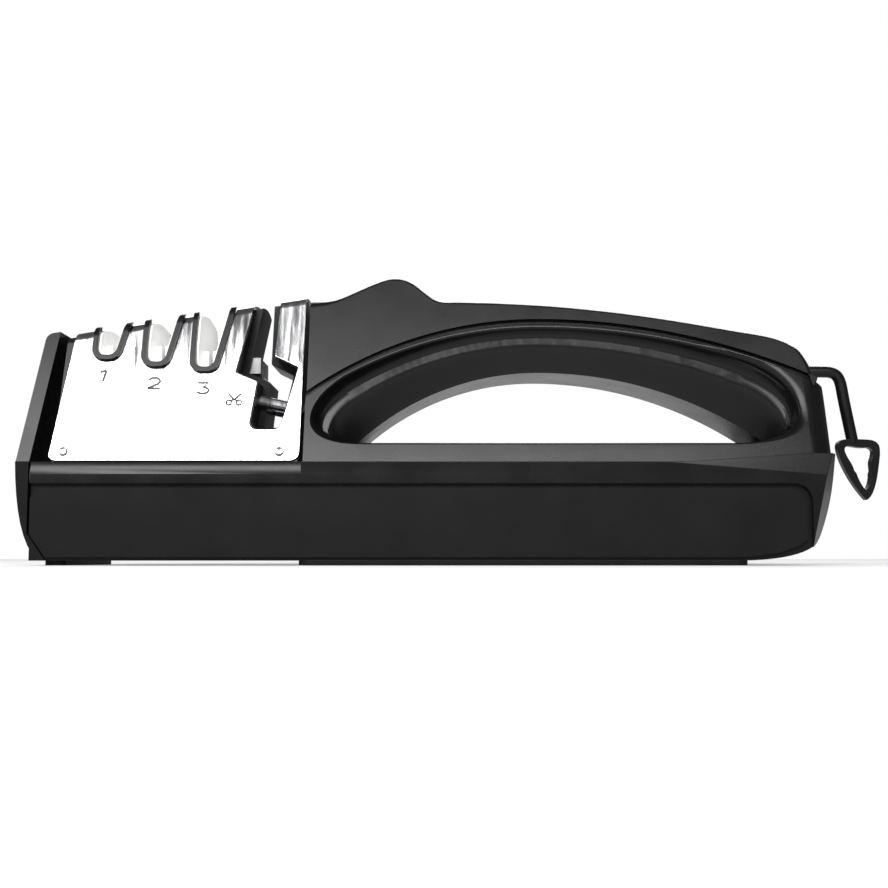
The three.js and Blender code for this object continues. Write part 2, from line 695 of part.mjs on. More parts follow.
// A small domed screw, turned about its own axis and set square to the side face.
function makePlateScrew(place) {
  const profile = [
    new THREE.Vector2(0, -PLATE_SCREW_LENGTH),
    new THREE.Vector2(PLATE_SCREW_SHANK, -PLATE_SCREW_LENGTH),
    new THREE.Vector2(PLATE_SCREW_SHANK, GAP),
    new THREE.Vector2(PLATE_SCREW_RADIUS, GAP),
    new THREE.Vector2(PLATE_SCREW_CROWN_RADIUS, GAP + PLATE_SCREW_EDGE),
    new THREE.Vector2(0, GAP + PLATE_SCREW_CROWN),
  ];
  const geometry = new THREE.LatheGeometry(profile, 14);
  geometry.rotateX(place.side > 0 ? SIDE_LEAN : Math.PI - SIDE_LEAN);
  geometry.translate(place.x, place.side * sideHalf(place.z), place.z);
  return solid(geometry);
}

// The block inside the module under one slot: a notch that a blade drops into, and a thin slit below it.
function makeHolder(slot) {
  const centre = FRONT_X + slot.fromFront;
  const roof = roofHeight(centre - HOLDER_WIDTH / 2) - holderRoofDrop();
  const half = HOLDER_DEPTH / 2;
  let body = block(centre - HOLDER_WIDTH / 2, centre + HOLDER_WIDTH / 2, -half, half, DECK_HEIGHT, roof);
  const notch = { ...slot, floor: slot.floor + HOLDER_NOTCH_RISE };
  body = body.subtract(alongY(slotShape(notch, 0), -REACH, REACH));
  const slitFloor = slot.floor - SLIT_DEPTH;
  const slitHalf = SLIT_WIDTH / 2;
  body = body.subtract(block(centre - slitHalf, centre + slitHalf, -REACH, REACH, slitFloor, REACH));
  for (const side of [-1, 1]) {
    const socket = slot.name === 'carbide' ? carbideBlade(slot, side, GAP) : abrasiveRod(slot, side, GAP);
    body = body.subtract(socket);
  }
  return body;
}

// How far a holder's flat top stays under the crown of the roof.
function holderRoofDrop() {
  const half = HOLDER_DEPTH / 2;
  const crownDrop = ROOF_CROWN_RADIUS - Math.sqrt(ROOF_CROWN_RADIUS ** 2 - half ** 2);
  return crownDrop + PLATE_THICKNESS + 2 * GAP + WALL;
}

// One of a slot's two crossing rods, grown by extra.
function abrasiveRod(slot, side, extra) {
  const radius = ROD_RADIUS + extra;
  const geometry = new THREE.CylinderGeometry(radius, radius, ROD_LENGTH + 2 * extra, 14);
  geometry.rotateX(Math.PI / 2);
  geometry.rotateY(side * ROD_TILT);
  const centre = FRONT_X + slot.fromFront;
  const lift = slot.floor - ROD_LENGTH / 2 + ROD_TOP_ABOVE_FLOOR;
  geometry.translate(centre + side * ROD_OFFSET, side * ROD_STAGGER, lift);
  return solid(geometry);
}

// One of the coarse slot's two crossing carbide blades, grown by extra.
function carbideBlade(slot, side, extra) {
  const width = BLADE_WIDTH + 2 * extra;
  const geometry = new THREE.BoxGeometry(width, BLADE_THICKNESS + 2 * extra, BLADE_LENGTH + 2 * extra);
  geometry.rotateY(side * ROD_TILT);
  const centre = FRONT_X + slot.fromFront;
  const lift = slot.floor - BLADE_LENGTH / 2 + ROD_TOP_ABOVE_FLOOR;
  geometry.translate(centre + side * BLADE_OFFSET, side * ROD_STAGGER, lift);
  return solid(geometry);
}

// The slanted rod near each end of the scissors slot, grown by extra.
function scissorRod(extra, side) {
  const radius = SCISSOR_ROD_RADIUS + extra;
  const length = SCISSOR_ROD_LENGTH + 2 * extra;
  const geometry = new THREE.CylinderGeometry(radius, radius, length, 14);
  geometry.rotateZ(Math.PI / 2);
  geometry.rotateY(SCISSOR_ROD_TILT);
  geometry.translate(SCISSOR_X + SCISSOR_ROD_OFFSET, side * SCISSOR_ROD_SIDE, SCISSOR_ROD_HEIGHT);
  return solid(geometry);
}

// The small block that guides a scissors blade, on the front wall of its slot.
function makeScissorGuide() {
  const left = SCISSOR_X + GUIDE_OFFSET;
  const half = GUIDE_DEPTH / 2;
  return block(left, left + GUIDE_WIDTH, -half, half, GUIDE_BOTTOM, GUIDE_BOTTOM + GUIDE_HEIGHT);
}

function makeBasePlate() {
  let plate = baseMouth(GAP).intersect(
    block(-REACH, REACH, -REACH, REACH, BODY_BOTTOM, BODY_BOTTOM + BASE_PLATE_THICKNESS),
  );
  const sinkTop = BODY_BOTTOM + BASE_PLATE_THICKNESS / 2;
  for (const place of baseScrewPlaces()) {
    plate = plate.subtract(upright(place, BASE_SCREW_SHANK + GAP, -REACH, DECK_HEIGHT));
    plate = plate.subtract(upright(place, BASE_SCREW_RADIUS + GAP, -REACH, sinkTop));
  }
  return plate;
}

// Screws up through the base plate, near its corners.
function baseScrewPlaces() {
  const places = [];
  for (const x of [FRONT_X + NOSE_TOE + 5 * NOSE_THICKNESS, SOLE_FRONT_X - BASE_SCREW_FROM_SOLE]) {
    for (const y of [-MODULE_SKIRT_HALF + BASE_SCREW_INSET, MODULE_SKIRT_HALF - BASE_SCREW_INSET]) {
      places.push({ x, y });
    }
  }
  return places;
}

// A round rod standing at a place, between two heights.
function upright({ x, y }, radius, z0, z1) {
  const geometry = new THREE.CylinderGeometry(radius, radius, z1 - z0, 16);
  geometry.rotateX(Math.PI / 2);
  geometry.translate(x, y, (z0 + z1) / 2);
  return solid(geometry);
}

function makeBaseScrew(place) {
  const headTop = BODY_BOTTOM + BASE_PLATE_THICKNESS / 2 - GAP;
  const head = upright(place, BASE_SCREW_RADIUS, BODY_BOTTOM, headTop);
  return head.add(upright(place, BASE_SCREW_SHANK, BODY_BOTTOM, BODY_BOTTOM + BASE_SCREW_LENGTH));
}

function makeSolePad() {
  const half = SOLE_WIDTH / 2;
  const pad = roundedBox(SOLE_FRONT_X, SOLE_FRONT_X + SOLE_LENGTH, -half, half, PAD_CORNER);
  return alongZ(pad, 0, SOLE_THICKNESS, { curveSegments: 5 });
}

function makeFrontFoot() {
  const x0 = FRONT_X + FOOT_FROM_FRONT;
  const foot = roundedBox(x0, x0 + FOOT_LENGTH, -FOOT_WIDTH / 2, FOOT_WIDTH / 2, FOOT_CORNER);
  return alongZ(foot, 0, SOLE_THICKNESS, { curveSegments: 4 });
}

// The grip cover: the crowned shell above the parting line, solid at the rear round the hook's slot.
function makeGripCover() {
  const hollow = gripForm(COVER_WALL).intersect(
    block(SEAM_X + COVER_WALL, REAR_X - REAR_BLOCK, -REACH, REACH, 0, REACH),
  );
  const slot = block(
    PIVOT_X - HOOK_EYE_RADIUS - 2 * GAP,
    REACH,
    -HOOK_SLOT_WIDTH / 2,
    HOOK_SLOT_WIDTH / 2,
    HOOK_PIVOT_HEIGHT - HOOK_EYE_RADIUS - 2 * GAP,
    REACH,
  );
  return gripForm(0)
    .subtract(underCover(0))
    .subtract(hollow)
    .subtract(slot)
    .subtract(crossRod(HOOK_PIN_RADIUS + GAP, HOOK_PIN_LENGTH + 2 * GAP));
}

// A round rod along Y through the hook's pivot.
function crossRod(radius, length) {
  const geometry = new THREE.CylinderGeometry(radius, radius, length, 16);
  geometry.translate(PIVOT_X, 0, HOOK_PIVOT_HEIGHT);
  return solid(geometry);
}

// The hook's loop: a rounded teardrop, wide at the top and pointed at the bottom, grown by extra.
function teardrop(x, z, extra) {
  const half = LOOP_WIDTH / 2 + extra;
  const top = z + extra;
  const bottom = z - LOOP_HEIGHT - extra * LOOP_POINT_GROWTH;
  const back = x - half;
  const front = x + half;
  const shape = new THREE.Shape();
  shape.moveTo(back + LOOP_BACK_SHOULDER, top);
  shape.lineTo(front - LOOP_SHOULDER, top);
  shape.quadraticCurveTo(front, top, front, top - LOOP_SHOULDER);
  shape.quadraticCurveTo(front, top - LOOP_FRONT_DROP, x + LOOP_POINT_OFFSET, bottom);
  shape.lineTo(back, top - LOOP_BACK_DROP);
  shape.quadraticCurveTo(back - 0.3, top, back + LOOP_BACK_SHOULDER, top);
  return shape;
}

// The hanging hook: an eye on the pin, a short shank, a bent arm and a teardrop loop.
function makeHook() {
  const elbowX = PIVOT_X + HOOK_REACH;
  const armX = elbowX + HOOK_ARM_LEAN;
  const armZ = HOOK_PIVOT_HEIGHT - HOOK_DROP;
  const loopX = armX + LOOP_OFFSET;
  const path = new THREE.CurvePath();
  const start = new THREE.Vector3(PIVOT_X + HOOK_EYE_RADIUS - JOIN, 0, HOOK_PIVOT_HEIGHT);
  const bend = new THREE.Vector3(elbowX, 0, HOOK_PIVOT_HEIGHT - HOOK_SHANK_DROP);
  const [beforeX, beforeZ] = HOOK_BEND_BEFORE;
  const [afterX, afterZ] = HOOK_BEND_AFTER;
  const beforeBend = new THREE.Vector3(elbowX + beforeX, 0, HOOK_PIVOT_HEIGHT + beforeZ);
  const afterBend = new THREE.Vector3(elbowX + afterX, 0, HOOK_PIVOT_HEIGHT + afterZ);
  const end = new THREE.Vector3(armX, 0, armZ - JOIN);
  path.add(new THREE.LineCurve3(start, beforeBend));
  path.add(new THREE.QuadraticBezierCurve3(beforeBend, bend, afterBend));
  path.add(new THREE.LineCurve3(afterBend, end));
  const section = new THREE.Shape();
  section.absarc(0, 0, HOOK_ROD_RADIUS, 0, 2 * Math.PI);
  const rod = new THREE.ExtrudeGeometry(section, { steps: 14, extrudePath: path, curveSegments: 5 });
  const eye = new THREE.Shape();
  eye.absarc(PIVOT_X, HOOK_PIVOT_HEIGHT, HOOK_EYE_RADIUS, 0, 2 * Math.PI);
  const half = HOOK_THICKNESS / 2;
  const loop = alongY(teardrop(loopX, armZ, 0), -half, half, { curveSegments: 6 })
    .subtract(alongY(teardrop(loopX, armZ, -LOOP_BAND), -REACH, REACH, { curveSegments: 6 }));
  return solid(rod)
    .add(alongY(eye, -half, half, { curveSegments: 12 }))
    .add(loop)
    .subtract(crossRod(HOOK_PIN_RADIUS + GAP, REACH));
}

const BLACK = { color: 0x141416, roughness: 0.42, metalness: 0 };
const SATIN_BLACK = { color: 0x101012, roughness: 0.35, metalness: 0 };
const SOFT_BLACK = { color: 0x18181a, roughness: 0.75, metalness: 0 };
const STAINLESS = { color: 0xd8d9da, roughness: 0.3, metalness: 1 };
const STEEL = { color: 0xb4b6b8, roughness: 0.35, metalness: 1 };
const CARBIDE = { color: 0x5c6064, roughness: 0.45, metalness: 1 };
const DIAMOND = { color: 0x8a8c8e, roughness: 0.8, metalness: 0.6 };
const CERAMIC = { color: 0xf2f0ea, roughness: 0.6, metalness: 0 };
const WHITE = { color: 0xeeeeec, roughness: 0.5, metalness: 0 };

const sharpener = new THREE.Group();

function addPiece(name, body, look) {
  const mesh = new THREE.Mesh(surface(body), new THREE.MeshStandardMaterial(look));
  mesh.name = name;
  sharpener.add(mesh);
}

addPiece('main_housing', makeHousing(), BLACK);
addPiece('grip_cover', makeGripCover(), SATIN_BLACK);
addPiece('left_side_panel', panelSolid(-1, 0, 0), SOFT_BLACK);
addPiece('right_side_panel', panelSolid(1, 0, 0), SOFT_BLACK);
addPiece('nose_cap', makeNoseCap(), BLACK);
addPiece('slot_module', makeModule(), SATIN_BLACK);
addPiece('module_floor', makeModuleFloor(), SATIN_BLACK);
addPiece('cover_plate', makeCoverPlate(), STAINLESS);
plateScrewPlaces().forEach((place, index) => {
  addPiece(`plate_screw_${index + 1}`, makePlateScrew(place), STEEL);
});
for (const slot of SLOTS) {
  addPiece(`${slot.name}_holder`, makeHolder(slot), WHITE);
  [-1, 1].forEach((side, index) => {
    if (slot.name === 'carbide') {
      addPiece(`carbide_blade_${index + 1}`, carbideBlade(slot, side, 0), CARBIDE);
    } else {
      const look = slot.name === 'diamond' ? DIAMOND : CERAMIC;
      addPiece(`${slot.name}_rod_${index + 1}`, abrasiveRod(slot, side, 0), look);
    }
  });
}
[-1, 1].forEach((side, index) => {
  addPiece(`scissor_rod_${index + 1}`, scissorRod(0, side), STEEL);
});
addPiece('scissor_guide', makeScissorGuide(), STEEL);
addPiece('base_plate', makeBasePlate(), BLACK);
baseScrewPlaces().forEach((place, index) => {
  addPiece(`base_screw_${index + 1}`, makeBaseScrew(place), STEEL);
});
addPiece('sole_pad', makeSolePad(), SOFT_BLACK);
addPiece('front_foot', makeFrontFoot(), SOFT_BLACK);
addPiece('hook_pin', crossRod(HOOK_PIN_RADIUS, HOOK_PIN_LENGTH), STEEL);
addPiece('hanging_hook', makeHook(), SATIN_BLACK);

export default sharpener;
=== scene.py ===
import math

import bmesh
import bpy
import numpy as np
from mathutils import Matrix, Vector


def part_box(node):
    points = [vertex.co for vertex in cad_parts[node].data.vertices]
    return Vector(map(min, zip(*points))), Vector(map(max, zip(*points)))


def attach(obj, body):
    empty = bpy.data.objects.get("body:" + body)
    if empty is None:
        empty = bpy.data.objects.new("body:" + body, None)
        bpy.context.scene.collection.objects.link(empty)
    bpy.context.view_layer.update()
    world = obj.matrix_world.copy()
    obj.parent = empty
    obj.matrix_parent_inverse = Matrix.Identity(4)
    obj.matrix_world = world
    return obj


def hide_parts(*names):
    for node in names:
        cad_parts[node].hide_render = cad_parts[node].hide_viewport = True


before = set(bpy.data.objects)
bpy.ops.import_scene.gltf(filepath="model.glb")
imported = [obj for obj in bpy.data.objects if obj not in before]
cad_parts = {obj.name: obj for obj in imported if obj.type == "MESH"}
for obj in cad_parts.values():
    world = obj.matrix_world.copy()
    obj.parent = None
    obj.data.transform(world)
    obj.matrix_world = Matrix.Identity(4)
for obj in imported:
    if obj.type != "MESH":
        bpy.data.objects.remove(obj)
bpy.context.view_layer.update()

# A hand-held knife and scissors sharpener. Lengths in this script are in millimetres, and
# every mesh is scaled to metres as it is made. Lights are placed in metres.
MM = 0.001


def box_mm(node):
    """A node's lowest and highest corners at rest."""
    low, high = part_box(node)
    return [c / MM for c in low], [c / MM for c in high]


# ---------------------------------------------------------------- sizes from the frame
nose_low = box_mm("nose_cap")[0]
housing_low, housing_high = box_mm("main_housing")
cover_low, cover_high = box_mm("grip_cover")
plate_low, plate_high = box_mm("cover_plate")

FRONT = nose_low[0]
REAR = housing_high[0]
SEAM = cover_low[0]
HEAD_REAR = plate_high[0]
PLATE_FRONT = plate_low[0]
HALF = housing_high[1]
BOTTOM = housing_low[2]
WAIST = plate_low[2]
BUMP_TOP = cover_high[2]
SIDE_LEAN = 17
LEAN = math.tan(math.radians(SIDE_LEAN))
SHOULDER = 0.9
APEX = SEAM + 60.5
REACH = 40
SLOT_TOP = 90
CLEAR_TOP = SLOT_TOP + 5


def side_y(z):
    """Half width of the leaning side faces at height z."""
    return HALF - SHOULDER - (z - WAIST) * LEAN


# ---------------------------------------------------------------- mesh helpers
def mesh_object(name, points, faces):
    mesh = bpy.data.meshes.new(name)
    mesh.from_pydata([Vector(p) * MM for p in points], [], faces)
    mesh.validate()
    work = bmesh.new()
    work.from_mesh(mesh)
    bmesh.ops.remove_doubles(work, verts=work.verts, dist=0.002 * MM)
    bmesh.ops.recalc_face_normals(work, faces=work.faces)
    work.to_mesh(mesh)
    work.free()
    item = bpy.data.objects.new(name, mesh)
    bpy.context.scene.collection.objects.link(item)
    return item


def grid_faces(rows, columns, close_columns=False):
    """Quads between neighbouring rings of points."""
    faces = []
    for r in range(rows - 1):
        for c in range(columns if close_columns else columns - 1):
            r2 = r + 1
            c2 = (c + 1) % columns
            faces.append((r * columns + c, r * columns + c2, r2 * columns + c2, r2 * columns + c))
    return faces


def loft(name, rings):
    """A closed solid through rings that have the same number of points."""
    columns = len(rings[0])
    faces = grid_faces(len(rings), columns, close_columns=True)
    faces += [tuple(range(columns)), tuple((len(rings) - 1) * columns + c for c in range(columns))]
    return mesh_object(name, [p for ring in rings for p in ring], faces)


def prism(name, outline, axis, low, high):
    """A closed prism: outline is a list of 2-D points, and axis is the axis it is pushed along."""
    order = {
        "x": lambda a, b, t: (t, a, b),
        "y": lambda a, b, t: (a, t, b),
        "z": lambda a, b, t: (a, b, t),
    }[axis]
    count = len(outline)
    points = [order(a, b, low) for a, b in outline] + [order(a, b, high) for a, b in outline]
    faces = [(i, (i + 1) % count, count + (i + 1) % count, count + i) for i in range(count)]
    faces += [tuple(range(count)), tuple(range(2 * count - 1, count - 1, -1))]
    return mesh_object(name, points, faces)


def box(name, low, high):
    outline = [(low[0], low[1]), (high[0], low[1]), (high[0], high[1]), (low[0], high[1])]
    return prism(name, outline, "z", low[2], high[2])


def run_modifier(item, kind, **settings):
    modifier = item.modifiers.new(kind, kind)
    for key, value in settings.items():
        setattr(modifier, key, value)
    bpy.context.view_layer.objects.active = item
    with bpy.context.temp_override(object=item, active_object=item, selected_objects=[item]):
        bpy.ops.object.modifier_apply(modifier=modifier.name)
    return item


def combine(item, other, operation):
    """A boolean of two closed pieces; the second is used up."""
    run_modifier(item, "BOOLEAN", object=other, operation=operation, solver="EXACT")
    bpy.data.objects.remove(other)
    return item


def cut(item, other):
    return combine(item, other, "DIFFERENCE")


def common(item, other):
    return combine(item, other, "INTERSECT")


def tidy(item, dissolve=0.5):
    """Merges near points and dissolves flat leftovers of a boolean."""
    work = bmesh.new()
    work.from_mesh(item.data)
    bmesh.ops.remove_doubles(work, verts=work.verts, dist=0.01 * MM)
    bmesh.ops.dissolve_limit(work, angle_limit=math.radians(dissolve), verts=work.verts, edges=work.edges)
    work.to_mesh(item.data)
    work.free()
    return item


def soften(item, width, segments=3, angle=30):
    run_modifier(
        item, "BEVEL", width=width * MM, segments=segments, limit_method="ANGLE",
        angle_limit=math.radians(angle), miter_outer="MITER_ARC",
        use_clamp_overlap=True, harden_normals=False,
    )
    return item


def shade(item, angle=35):
    mesh = item.data
    mesh.polygons.foreach_set("use_smooth", [True] * len(mesh.polygons))
    mesh.set_sharp_from_angle(angle=math.radians(angle))
    modifier = item.modifiers.new("weighted", "WEIGHTED_NORMAL")
    modifier.keep_sharp = True
    modifier.weight = 60
    return item


def arc(cx, cy, radius, start, end, steps):
    """Points on an arc, angles in degrees."""
    angles = np.radians(np.linspace(start, end, steps + 1))
    return [(cx + radius * math.cos(a), cy + radius * math.sin(a)) for a in angles]


def rounded_box(x0, x1, z0, z1, radius, steps=8):
    points = arc(x1 - radius, z0 + radius, radius, -90, 0, steps)
    points += arc(x1 - radius, z1 - radius, radius, 0, 90, steps)
    points += arc(x0 + radius, z1 - radius, radius, 90, 180, steps)
    points += arc(x0 + radius, z0 + radius, radius, 180, 270, steps)
    return points


def bezier(p0, p1, p2, p3, steps):
    points = []
    for t in np.linspace(0, 1, steps + 1):
        a = [(1 - t) ** 3, 3 * t * (1 - t) ** 2, 3 * t * t * (1 - t), t ** 3]
        points.append(tuple(sum(w * p[i] for w, p in zip(a, (p0, p1, p2, p3))) for i in (0, 1)))
    return points


def spline(knots, steps):
    """A smooth curve through knots, sampled evenly along its length."""
    knots = np.array(knots, float)
    ends = np.vstack([2 * knots[0] - knots[1], knots, 2 * knots[-1] - knots[-2]])
    points = []
    for i in range(1, len(ends) - 2):
        p0, p1, p2, p3 = ends[i - 1:i + 3]
        d1 = max(np.linalg.norm(p1 - p0) ** 0.5, 1e-6)
        d2 = max(np.linalg.norm(p2 - p1) ** 0.5, 1e-6)
        d3 = max(np.linalg.norm(p3 - p2) ** 0.5, 1e-6)
        m1 = (p2 - p1) / d2 - (p2 - p0) / (d1 + d2) + (p1 - p0) / d1
        m2 = (p3 - p2) / d3 - (p3 - p1) / (d2 + d3) + (p2 - p1) / d2
        for t in np.linspace(0, 1, 24, endpoint=False):
            h = (2 * t ** 3 - 3 * t * t + 1, t ** 3 - 2 * t * t + t, -2 * t ** 3 + 3 * t * t, t ** 3 - t * t)
            points.append(h[0] * p1 + h[1] * m1 * d2 + h[2] * p2 + h[3] * m2 * d2)
    points.append(knots[-1])
    return resample(np.array(points), steps)


def resample(points, steps):
    """Evenly spaced points along a polyline."""
    points = np.array(points, float)
    lengths = np.concatenate([[0], np.cumsum(np.linalg.norm(np.diff(points, axis=0), axis=1))])
    wanted = np.linspace(0, lengths[-1], steps + 1)
    return np.stack([np.interp(wanted, lengths, points[:, i]) for i in range(points.shape[1])], axis=1)


def arc_radius(run, drop):
    return (run * run + drop * drop) / (2 * drop)


def arch_height(x, apex_height, front_radius, rear_radius):
    """Height at x of two arcs that meet at the apex."""
    radius = front_radius if x < APEX else rear_radius
    return apex_height - radius + math.sqrt(max(radius * radius - (x - APEX) ** 2, 0))


COVER_APEX = 64.8
PARTING_FRONT = 44.6
PARTING_REAR = 47.2
COVER_FRONT_R = arc_radius(APEX - SEAM, COVER_APEX - PARTING_FRONT)
COVER_REAR_R = arc_radius(REAR - APEX, COVER_APEX - PARTING_REAR)


def parting(x):
    """Height of the grip cover's lower edge."""
    return arch_height(x, COVER_APEX, COVER_FRONT_R, COVER_REAR_R)


# ---------------------------------------------------------------- materials
def node_material(name, color, roughness, metallic=0.0, specular=0.5):
    """A principled material with its fixed numbers on the shader's own sockets."""
    material = bpy.data.materials.new(name)
    material.use_nodes = True
    tree = material.node_tree
    shader = tree.nodes["Principled BSDF"]
    shader.inputs["Base Color"].default_value = (*color, 1)
    shader.inputs["Roughness"].default_value = roughness
    shader.inputs["Metallic"].default_value = metallic
    shader.inputs["Specular IOR Level"].default_value = specular
    return material, tree, shader


def coordinates(tree, stretch=(1, 1, 1)):
    """Object coordinates in metres, stretched along each axis."""
    place = tree.nodes.new("ShaderNodeTexCoord")
    mapping = tree.nodes.new("ShaderNodeMapping")
    mapping.inputs["Scale"].default_value = stretch
    tree.links.new(place.outputs["Object"], mapping.inputs["Vector"])
    return mapping.outputs["Vector"]


def noise(tree, vector, scale, detail=3, rough=0.5):
    texture = tree.nodes.new("ShaderNodeTexNoise")
    texture.inputs["Scale"].default_value = scale
    texture.inputs["Detail"].default_value = detail
    texture.inputs["Roughness"].default_value = rough
    tree.links.new(vector, texture.inputs["Vector"])
    return texture.outputs["Fac"]


def spread(tree, factor, low, high, start=0.3, end=0.7):
    """Maps a factor between start and end onto low and high."""
    remap = tree.nodes.new("ShaderNodeMapRange")
    remap.inputs["From Min"].default_value = start
    remap.inputs["From Max"].default_value = end
    remap.inputs["To Min"].default_value = low
    remap.inputs["To Max"].default_value = high
    tree.links.new(factor, remap.inputs["Value"])
    return remap.outputs["Result"]


def ramp(tree, factor, low, high, start=0.3, end=0.7):
    colors = tree.nodes.new("ShaderNodeValToRGB")
    colors.color_ramp.elements[0].position = start
    colors.color_ramp.elements[0].color = (*low, 1)
    colors.color_ramp.elements[1].position = end
    colors.color_ramp.elements[1].color = (*high, 1)
    tree.links.new(factor, colors.inputs["Fac"])
    return colors.outputs["Color"]


def bump(tree, shader, height, distance, strength=1.0):
    node = tree.nodes.new("ShaderNodeBump")
    node.inputs["Distance"].default_value = distance * MM
    node.inputs["Strength"].default_value = strength
    tree.links.new(height, node.inputs["Height"])
    tree.links.new(node.outputs["Normal"], shader.inputs["Normal"])


def moulded(name, color, lighter, roughness, grain, depth, specular=0.5, spread_by=0.03):
    """Moulded plastic: a fine spark-eroded grain, faint mottling, and uneven gloss."""
    material, tree, shader = node_material(name, color, roughness, specular=specular)
    vector = coordinates(tree)
    wide = noise(tree, vector, 90, 4)
    fine = noise(tree, vector, grain, 3, 0.6)
    tree.links.new(ramp(tree, wide, color, lighter), shader.inputs["Base Color"])
    gloss = spread(tree, wide, roughness - spread_by, roughness + spread_by)
    tree.links.new(gloss, shader.inputs["Roughness"])
    bump(tree, shader, fine, depth, 0.6)
    return material


def brushed(name, color, darker, roughness, stretch, scale=240):
    """Brushed metal: long fine lines in colour, gloss and relief."""
    material, tree, shader = node_material(name, color, roughness, metallic=1.0)
    shader.inputs["Anisotropic"].default_value = 0.55
    vector = coordinates(tree, stretch)
    lines = noise(tree, vector, scale, 6, 0.7)
    broad = noise(tree, vector, scale / 6, 3, 0.5)
    tree.links.new(ramp(tree, lines, darker, color, 0.32, 0.66), shader.inputs["Base Color"])
    tree.links.new(spread(tree, broad, roughness - 0.07, roughness + 0.1), shader.inputs["Roughness"])
    bump(tree, shader, lines, 0.02, 0.5)
    return material


def gritty(name, color, darker, roughness, scale, depth, metallic):
    """A coarse ground or plated surface."""
    material, tree, shader = node_material(name, color, roughness, metallic=metallic)
    vector = coordinates(tree)
    grains = tree.nodes.new("ShaderNodeTexVoronoi")
    grains.inputs["Scale"].default_value = scale
    tree.links.new(vector, grains.inputs["Vector"])
    shades = ramp(tree, grains.outputs["Distance"], color, darker, 0.1, 0.8)
    tree.links.new(shades, shader.inputs["Base Color"])
    bump(tree, shader, grains.outputs["Distance"], depth, 0.7)
    return material


def etched(name, color, lighter):
    """Dull grey etching on the plate."""
    material, tree, shader = node_material(name, color, 0.75, specular=0.2)
    fine = noise(tree, coordinates(tree), 2600, 4, 0.6)
    tree.links.new(ramp(tree, fine, color, lighter), shader.inputs["Base Color"])
    bump(tree, shader, fine, 0.01, 0.4)
    return material


LOOKS = {
    "black_plastic": moulded(
        "black_plastic", (0.0036, 0.0036, 0.0039), (0.0044, 0.0044, 0.0048),
        0.27, 5200, 0.008, 0.17,
    ),
    "gloss_black": moulded(
        "gloss_black", (0.0036, 0.0036, 0.0039), (0.0046, 0.0046, 0.005),
        0.29, 4600, 0.007, 0.19,
    ),
    "soft_black": moulded(
        "soft_black", (0.0046, 0.0046, 0.0049), (0.0056, 0.0056, 0.006),
        0.42, 7200, 0.012, 0.08,
    ),
    "stainless": brushed("stainless", (0.6, 0.6, 0.605), (0.4, 0.4, 0.41), 0.15, (16, 3, 1), 300),
    "steel": brushed("steel", (0.6, 0.6, 0.61), (0.42, 0.42, 0.43), 0.3, (6, 1, 1), 500),
    "carbide": gritty("carbide", (0.25, 0.26, 0.27), (0.14, 0.145, 0.15), 0.38, 6000, 0.01, 1.0),
    "diamond": gritty("diamond", (0.5, 0.5, 0.52), (0.2, 0.2, 0.21), 0.55, 4200, 0.05, 0.8),
    "ceramic": gritty("ceramic", (0.86, 0.85, 0.82), (0.78, 0.77, 0.73), 0.5, 3500, 0.01, 0.0),
    "etched": etched("etched", (0.06, 0.06, 0.062), (0.1, 0.1, 0.103)),
    "white_plastic": moulded("white_plastic", (0.82, 0.82, 0.81), (0.88, 0.88, 0.87), 0.42, 3800, 0.01),
}


def finish_piece(item, slot, body, *nodes, look=None):
    """Gives a piece the material named by its slot, or by look where one is given, puts it under its body,
    and hides the nodes it stands for.
    """
    item.data.materials.clear()
    item.data.materials.append(LOOKS[look or slot])
    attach(item, body)
    if nodes:
        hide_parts(*nodes)
    return item


# ---------------------------------------------------------------- grip outlines
BUMP_RISE = 7.3
GRIP_TOP = BUMP_TOP - BUMP_RISE
top_knots = [
    (SEAM + 0.2, GRIP_TOP), (SEAM + 5, GRIP_TOP - 0.1), (SEAM + 8, GRIP_TOP + 0.5),
    (SEAM + 12, GRIP_TOP + 2.3), (SEAM + 16, GRIP_TOP + 4.2), (SEAM + 21, BUMP_TOP - 1.35),
    (SEAM + 25, BUMP_TOP - 1.55), (SEAM + 28.2, BUMP_TOP - 3.1), (SEAM + 31.2, BUMP_TOP - 5.6),
    (SEAM + 34.4, GRIP_TOP - 0.45), (SEAM + 40, GRIP_TOP - 0.7), (SEAM + 50, GRIP_TOP - 1.0),
    (SEAM + 67.5, GRIP_TOP - 2.1), (SEAM + 89.5, GRIP_TOP - 4.8), (SEAM + 111, GRIP_TOP - 8.6),
    (SEAM + 122.5, GRIP_TOP - 10.9), (REAR - 8.2, GRIP_TOP - 12.7), (REAR - 5.6, GRIP_TOP - 14.1),
    (REAR - 3.4, GRIP_TOP - 17.2), (REAR - 1.6, GRIP_TOP - 21.2), (REAR - 0.6, parting(REAR) - 0.2),
]


def inward_offset(points, distance):
    """Moves each point of an open curve to its right-hand side by its own distance."""
    points = np.array(points)
    tangent = np.gradient(points, axis=0)
    tangent /= np.linalg.norm(tangent, axis=1)[:, None]
    normal = np.stack([tangent[:, 1], -tangent[:, 0]], axis=1)
    return points + normal * np.array(distance)[:, None]


